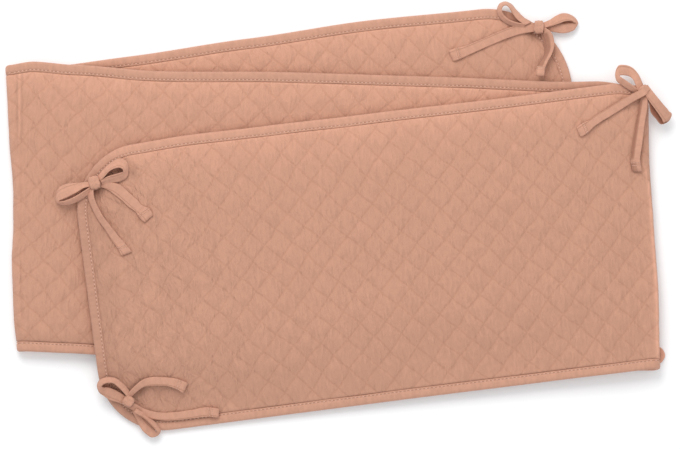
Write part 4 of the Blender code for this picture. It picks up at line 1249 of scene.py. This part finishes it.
def pattern_noise(tree, where, stretch, scale, detail, rough):
    """Noise over the cloth's own pattern map, stretched along or across."""
    placed = add_node(tree, "ShaderNodeMapping", (where,))
    placed.inputs["Scale"].default_value = (*stretch, 1.0)
    made = add_node(tree, "ShaderNodeTexNoise")
    tree.links.new(placed.outputs[0], made.inputs["Vector"])
    made.inputs["Scale"].default_value = scale
    made.inputs["Detail"].default_value = detail
    made.inputs["Roughness"].default_value = rough
    return made.outputs[0]


def woven(tree, where, pitch):
    """A plain weave's height: threads over and under at a pitch."""
    split = add_node(tree, "ShaderNodeSeparateXYZ", (where,))
    waves = []
    for axis in (0, 1):
        turned = math_node(tree, "MULTIPLY", split.outputs[axis], 2.0 * math.pi / pitch)
        waves.append(math_node(tree, "SINE", turned))
    return math_node(tree, "MULTIPLY", waves[0], waves[1])


def new_finish(name, roughness, sheen):
    """A matt cloth finish with its shader, and the pattern map it follows."""
    finish = bpy.data.materials.new(name)
    finish.use_nodes = True
    tree = finish.node_tree
    shader = tree.nodes["Principled BSDF"]
    shader.inputs["Roughness"].default_value = roughness
    shader.inputs["Specular IOR Level"].default_value = 0.25
    shader.inputs["Sheen Weight"].default_value = sheen
    shader.inputs["Sheen Roughness"].default_value = 0.6
    where = add_node(tree, "ShaderNodeUVMap", uv_map="pattern").outputs[0]
    return finish, tree, shader, where


def painted_shade(tree, shade, reach, open_from):
    """Paint shade into a colour: deeper and redder where other cloth lies close, by ambient occlusion, and
    where the stored share of light is low, the colour then scaled by that share down to the dimmest.
    """
    made = add_node(tree, "ShaderNodeAmbientOcclusion", samples=6)
    made.inputs["Distance"].default_value = reach
    open_air = soft_step(tree, made.outputs["AO"], *open_from)
    lit = add_node(tree, "ShaderNodeAttribute", attribute_name="lit").outputs["Fac"]
    shade = mixed(tree, soft_step(tree, lit, 0.0, DEEPER_BELOW), PAINTED_SHADE_COLOUR, shade)
    shade = mixed(tree, open_air, PAINTED_SHADE_COLOUR, shade)
    return scaled(tree, shade, math_node(tree, "MAXIMUM", lit, DIMMEST))


def raised(tree, height, distance, strength, under=None):
    """A bump over the surface, on top of another bump where one is given."""
    made = add_node(tree, "ShaderNodeBump")
    made.inputs["Strength"].default_value = strength
    made.inputs["Distance"].default_value = distance
    tree.links.new(height, made.inputs["Height"])
    if under is not None:
        tree.links.new(under, made.inputs["Normal"])
    return made.outputs[0]


def quilted_finish():
    """Crinkled cotton with its stitched diamond lines."""
    finish, tree, shader, where = new_finish("quilted_cloth", 0.92, 0.12)
    split = add_node(tree, "ShaderNodeSeparateXYZ", (where,))
    ahead = math_node(tree, "DIVIDE", split.outputs[0], DIAMOND_ALONG)
    aside = math_node(tree, "DIVIDE", split.outputs[1], DIAMOND_ACROSS)
    spacing = 1.0 / math.hypot(1.0 / DIAMOND_ALONG, 1.0 / DIAMOND_ACROSS)
    to_line = []
    for operation in ("ADD", "SUBTRACT"):
        lane = math_node(tree, operation, ahead, aside)
        near = math_node(tree, "PINGPONG", lane, 0.5)
        to_line.append(math_node(tree, "MULTIPLY", near, spacing))
    line = math_node(tree, "MINIMUM", *to_line)
    groove = soft_step(tree, line, *GROOVE_LINE)
    valley = soft_step(tree, line, 0.0, VALLEY_WIDTH)
    grain = {name: pattern_noise(tree, where, *values) for name, values in CLOTH_GRAIN.items()}
    fading = soft_step(tree, grain["fading"], 0.35, 0.65)
    # Painted shade in the sunken stitch lines of the quilting
    shade = mixed(tree, groove, GROOVE_SHADE_COLOUR, CLOTH_COLOUR)
    tone = mixed(tree, soft_step(tree, grain["mottle"], 0.3, 0.7), toned(CLOTH_COLOUR, 0.97),
                 toned(CLOTH_COLOUR, 1.03))
    end = math_node(tree, "SUBTRACT", 1.0, soft_step(tree, split.outputs[0], *PLAINER_FROM))
    faded = math_node(tree, "MULTIPLY", fading, math_node(tree, "MULTIPLY_ADD", end, 0.32, 0.38))
    kept = math_node(tree, "MAXIMUM", groove, faded)
    shade = mixed(tree, kept, shade, tone)
    speck = mixed(tree, soft_step(tree, grain["fibre"], 0.3, 0.75), toned(CLOTH_COLOUR, 0.93),
                  toned(CLOTH_COLOUR, 1.06))
    shade = mixed(tree, 0.35, shade, speck)
    # Painted light and shade: the crease noise makes streaks of the colour lighter and darker, standing in
    # for the shading of fine wrinkles
    shade = scaled(tree, shade, math_node(tree, "MULTIPLY_ADD", grain["creases"], 0.30, 0.85))
    # Painted shade where other cloth lies close and where less light falls
    shade = painted_shade(tree, shade, 0.009, PANEL_PAINTED_SHADE_RANGE)
    tree.links.new(shade, shader.inputs["Base Color"])
    normal = raised(tree, valley, GROOVE_DEPTH, 0.5)
    normal = raised(tree, groove, GROOVE_DEPTH, 0.5, normal)
    normal = raised(tree, grain["crumple"], 0.0016, 0.6, normal)
    strong = math_node(tree, "MULTIPLY_ADD", end, 0.7, 1.0)
    normal = raised(tree, math_node(tree, "MULTIPLY", grain["creases"], strong), 0.0022, 0.8, normal)
    normal = raised(tree, woven(tree, where, CLOTH_WEAVE), WEAVE_DEPTH, 0.5, normal)
    tree.links.new(normal, shader.inputs["Normal"])
    return finish


def tape_finish(name, colour, lines, rows, open_from):
    """Cotton tape with sewn lines along it, and rows across it near its end."""
    finish, tree, shader, where = new_finish(name, 0.88, 0.15)
    split = add_node(tree, "ShaderNodeSeparateXYZ", (where,))
    sewn = []
    for axis, place in [(1, line) for line in lines] + [(0, row) for row in rows]:
        away = math_node(tree, "ABSOLUTE", math_node(tree, "SUBTRACT", split.outputs[axis], place))
        sewn.append(soft_step(tree, away, *SEWN_LINE))
    dark = sewn[0]
    for step in sewn[1:]:
        dark = math_node(tree, "MINIMUM", dark, step)
    creases = pattern_noise(tree, where, *TAPE_GRAIN["creases"])
    fibre = pattern_noise(tree, where, *TAPE_GRAIN["fibre"])
    # Painted light and shade: the crease noise makes the tape's colour lighter and darker, standing in for
    # the shading of its wrinkles
    tone = mixed(tree, soft_step(tree, creases, 0.3, 0.7), toned(colour, 0.92), toned(colour, 1.06))
    tone = mixed(tree, math_node(tree, "MULTIPLY", soft_step(tree, fibre, 0.3, 0.75), 0.25), tone,
                 toned(colour, 1.1))
    # Painted shade in the sunken sewn lines of the tape
    shade = mixed(tree, dark, GROOVE_SHADE_COLOUR, tone)
    # Painted shade where other cloth lies close and where less light falls
    shade = painted_shade(tree, shade, 0.007, open_from)
    tree.links.new(shade, shader.inputs["Base Color"])
    normal = raised(tree, creases, 0.0010, 0.5)
    normal = raised(tree, dark, GROOVE_DEPTH, 0.7, normal)
    normal = raised(tree, woven(tree, where, TAPE_WEAVE), WEAVE_DEPTH, 0.6, normal)
    tree.links.new(normal, shader.inputs["Normal"])
    return finish


def thread_finish():
    """Sewing thread, a little lighter than the tape."""
    finish = bpy.data.materials.new("sewing_thread")
    finish.use_nodes = True
    tree = finish.node_tree
    shader = tree.nodes["Principled BSDF"]
    shader.inputs["Roughness"].default_value = 0.7
    where = add_node(tree, "ShaderNodeTexCoord").outputs["Object"]
    twist = pattern_noise(tree, where, *THREAD_GRAIN)
    shade = mixed(tree, twist, toned(THREAD_COLOUR, 0.85), toned(THREAD_COLOUR, 1.1))
    tree.links.new(shade, shader.inputs["Base Color"])
    return finish


def add_floor():
    """A plain pale floor, well past the view."""
    bpy.ops.object.select_all(action="DESELECT")
    bpy.ops.mesh.primitive_plane_add(size=FLOOR_SIZE, location=(0.0, 0.0, -FLOOR_DROP))
    floor = bpy.context.object
    floor.name = "pale_floor"
    bpy.ops.object.transform_apply(location=True, rotation=True, scale=True)
    finish = bpy.data.materials.new("pale_floor")
    finish.use_nodes = True
    shader = finish.node_tree.nodes["Principled BSDF"]
    shader.inputs["Base Color"].default_value = (*FLOOR_COLOUR, 1.0)
    shader.inputs["Roughness"].default_value = 0.95
    shader.inputs["Specular IOR Level"].default_value = 0.0
    shader.inputs["Emission Color"].default_value = (1.0, 1.0, 1.0, 1.0)
    shader.inputs["Emission Strength"].default_value = FLOOR_GLOW
    floor.data.materials.append(finish)


def add_light(name, place, size, power, colour):
    """A soft square light that looks at the middle of the pack."""
    light = bpy.data.lights.new(name, "AREA")
    light.shape = "SQUARE"
    light.size = size
    light.energy = power
    light.color = colour
    lamp = bpy.data.objects.new(name, light)
    bpy.context.scene.collection.objects.link(lamp)
    lamp.location = place
    lamp.rotation_euler = (-Vector(place)).to_track_quat("-Z", "Y").to_euler()


def add_view():
    """The camera straight overhead, and soft studio light from the upper left."""
    lens = bpy.data.cameras.new("overhead")
    lens.sensor_width = SENSOR_WIDTH
    lens.lens = SENSOR_WIDTH * CAMERA_HEIGHT / (PIXEL * IMAGE_WIDTH)
    lens.clip_end = 50.0
    camera = bpy.data.objects.new("overhead", lens)
    camera.location = (0.0, 0.0, CAMERA_HEIGHT + PIXEL_HEIGHT)
    bpy.context.scene.collection.objects.link(camera)
    bpy.context.scene.camera = camera
    add_light("window", *WINDOW)
    bpy.context.scene.view_settings.view_transform = "Standard"
    world = bpy.data.worlds.new("studio")
    world.use_nodes = True
    bpy.context.scene.world = world
    world.node_tree.nodes["Background"].inputs[0].default_value = SKY_COLOUR
    world.node_tree.nodes["Background"].inputs[1].default_value = SKY_STRENGTH


def dress(piece, node, finish):
    """Give a piece its finish and its body, and hide the solid that it stands for."""
    piece.data.materials.clear()
    piece.data.materials.append(finish)
    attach(piece, "root")
    if node:
        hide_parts(node)


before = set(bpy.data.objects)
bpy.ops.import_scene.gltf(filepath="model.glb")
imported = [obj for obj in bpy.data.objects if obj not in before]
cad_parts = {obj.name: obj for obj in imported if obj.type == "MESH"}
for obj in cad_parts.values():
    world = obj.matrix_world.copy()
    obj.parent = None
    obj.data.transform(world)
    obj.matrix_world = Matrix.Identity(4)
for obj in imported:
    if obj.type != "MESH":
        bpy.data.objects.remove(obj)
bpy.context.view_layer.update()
add_floor()
add_view()
panel = make_panel()
dress(panel, "quilted_panel", quilted_finish())
binding, walked, sewn_lines = make_binding()
binding_finish = tape_finish("binding_cloth", BINDING_COLOUR, sewn_lines, (), PANEL_PAINTED_SHADE_RANGE)
dress(binding, "edge_binding", binding_finish)
stitches = make_stitches(walked)
dress(stitches, None, thread_finish())
cap_rows = [CAP_LENGTH - row for row in CAP_STITCH_ROWS]
bow_finish = tape_finish("tie_cloth", TIE_COLOUR, (TIE_SEWN_LINE,), cap_rows, TIE_PAINTED_SHADE_RANGE)
sewn = []
for name, tie in TIES.items():
    bow, beads = make_tie(name, tie)
    sewn += beads
    dress(bow, name, bow_finish)
dress(bead_mesh("tie_stitches", CAP_STITCH_SIZE, sewn), None, thread_finish())
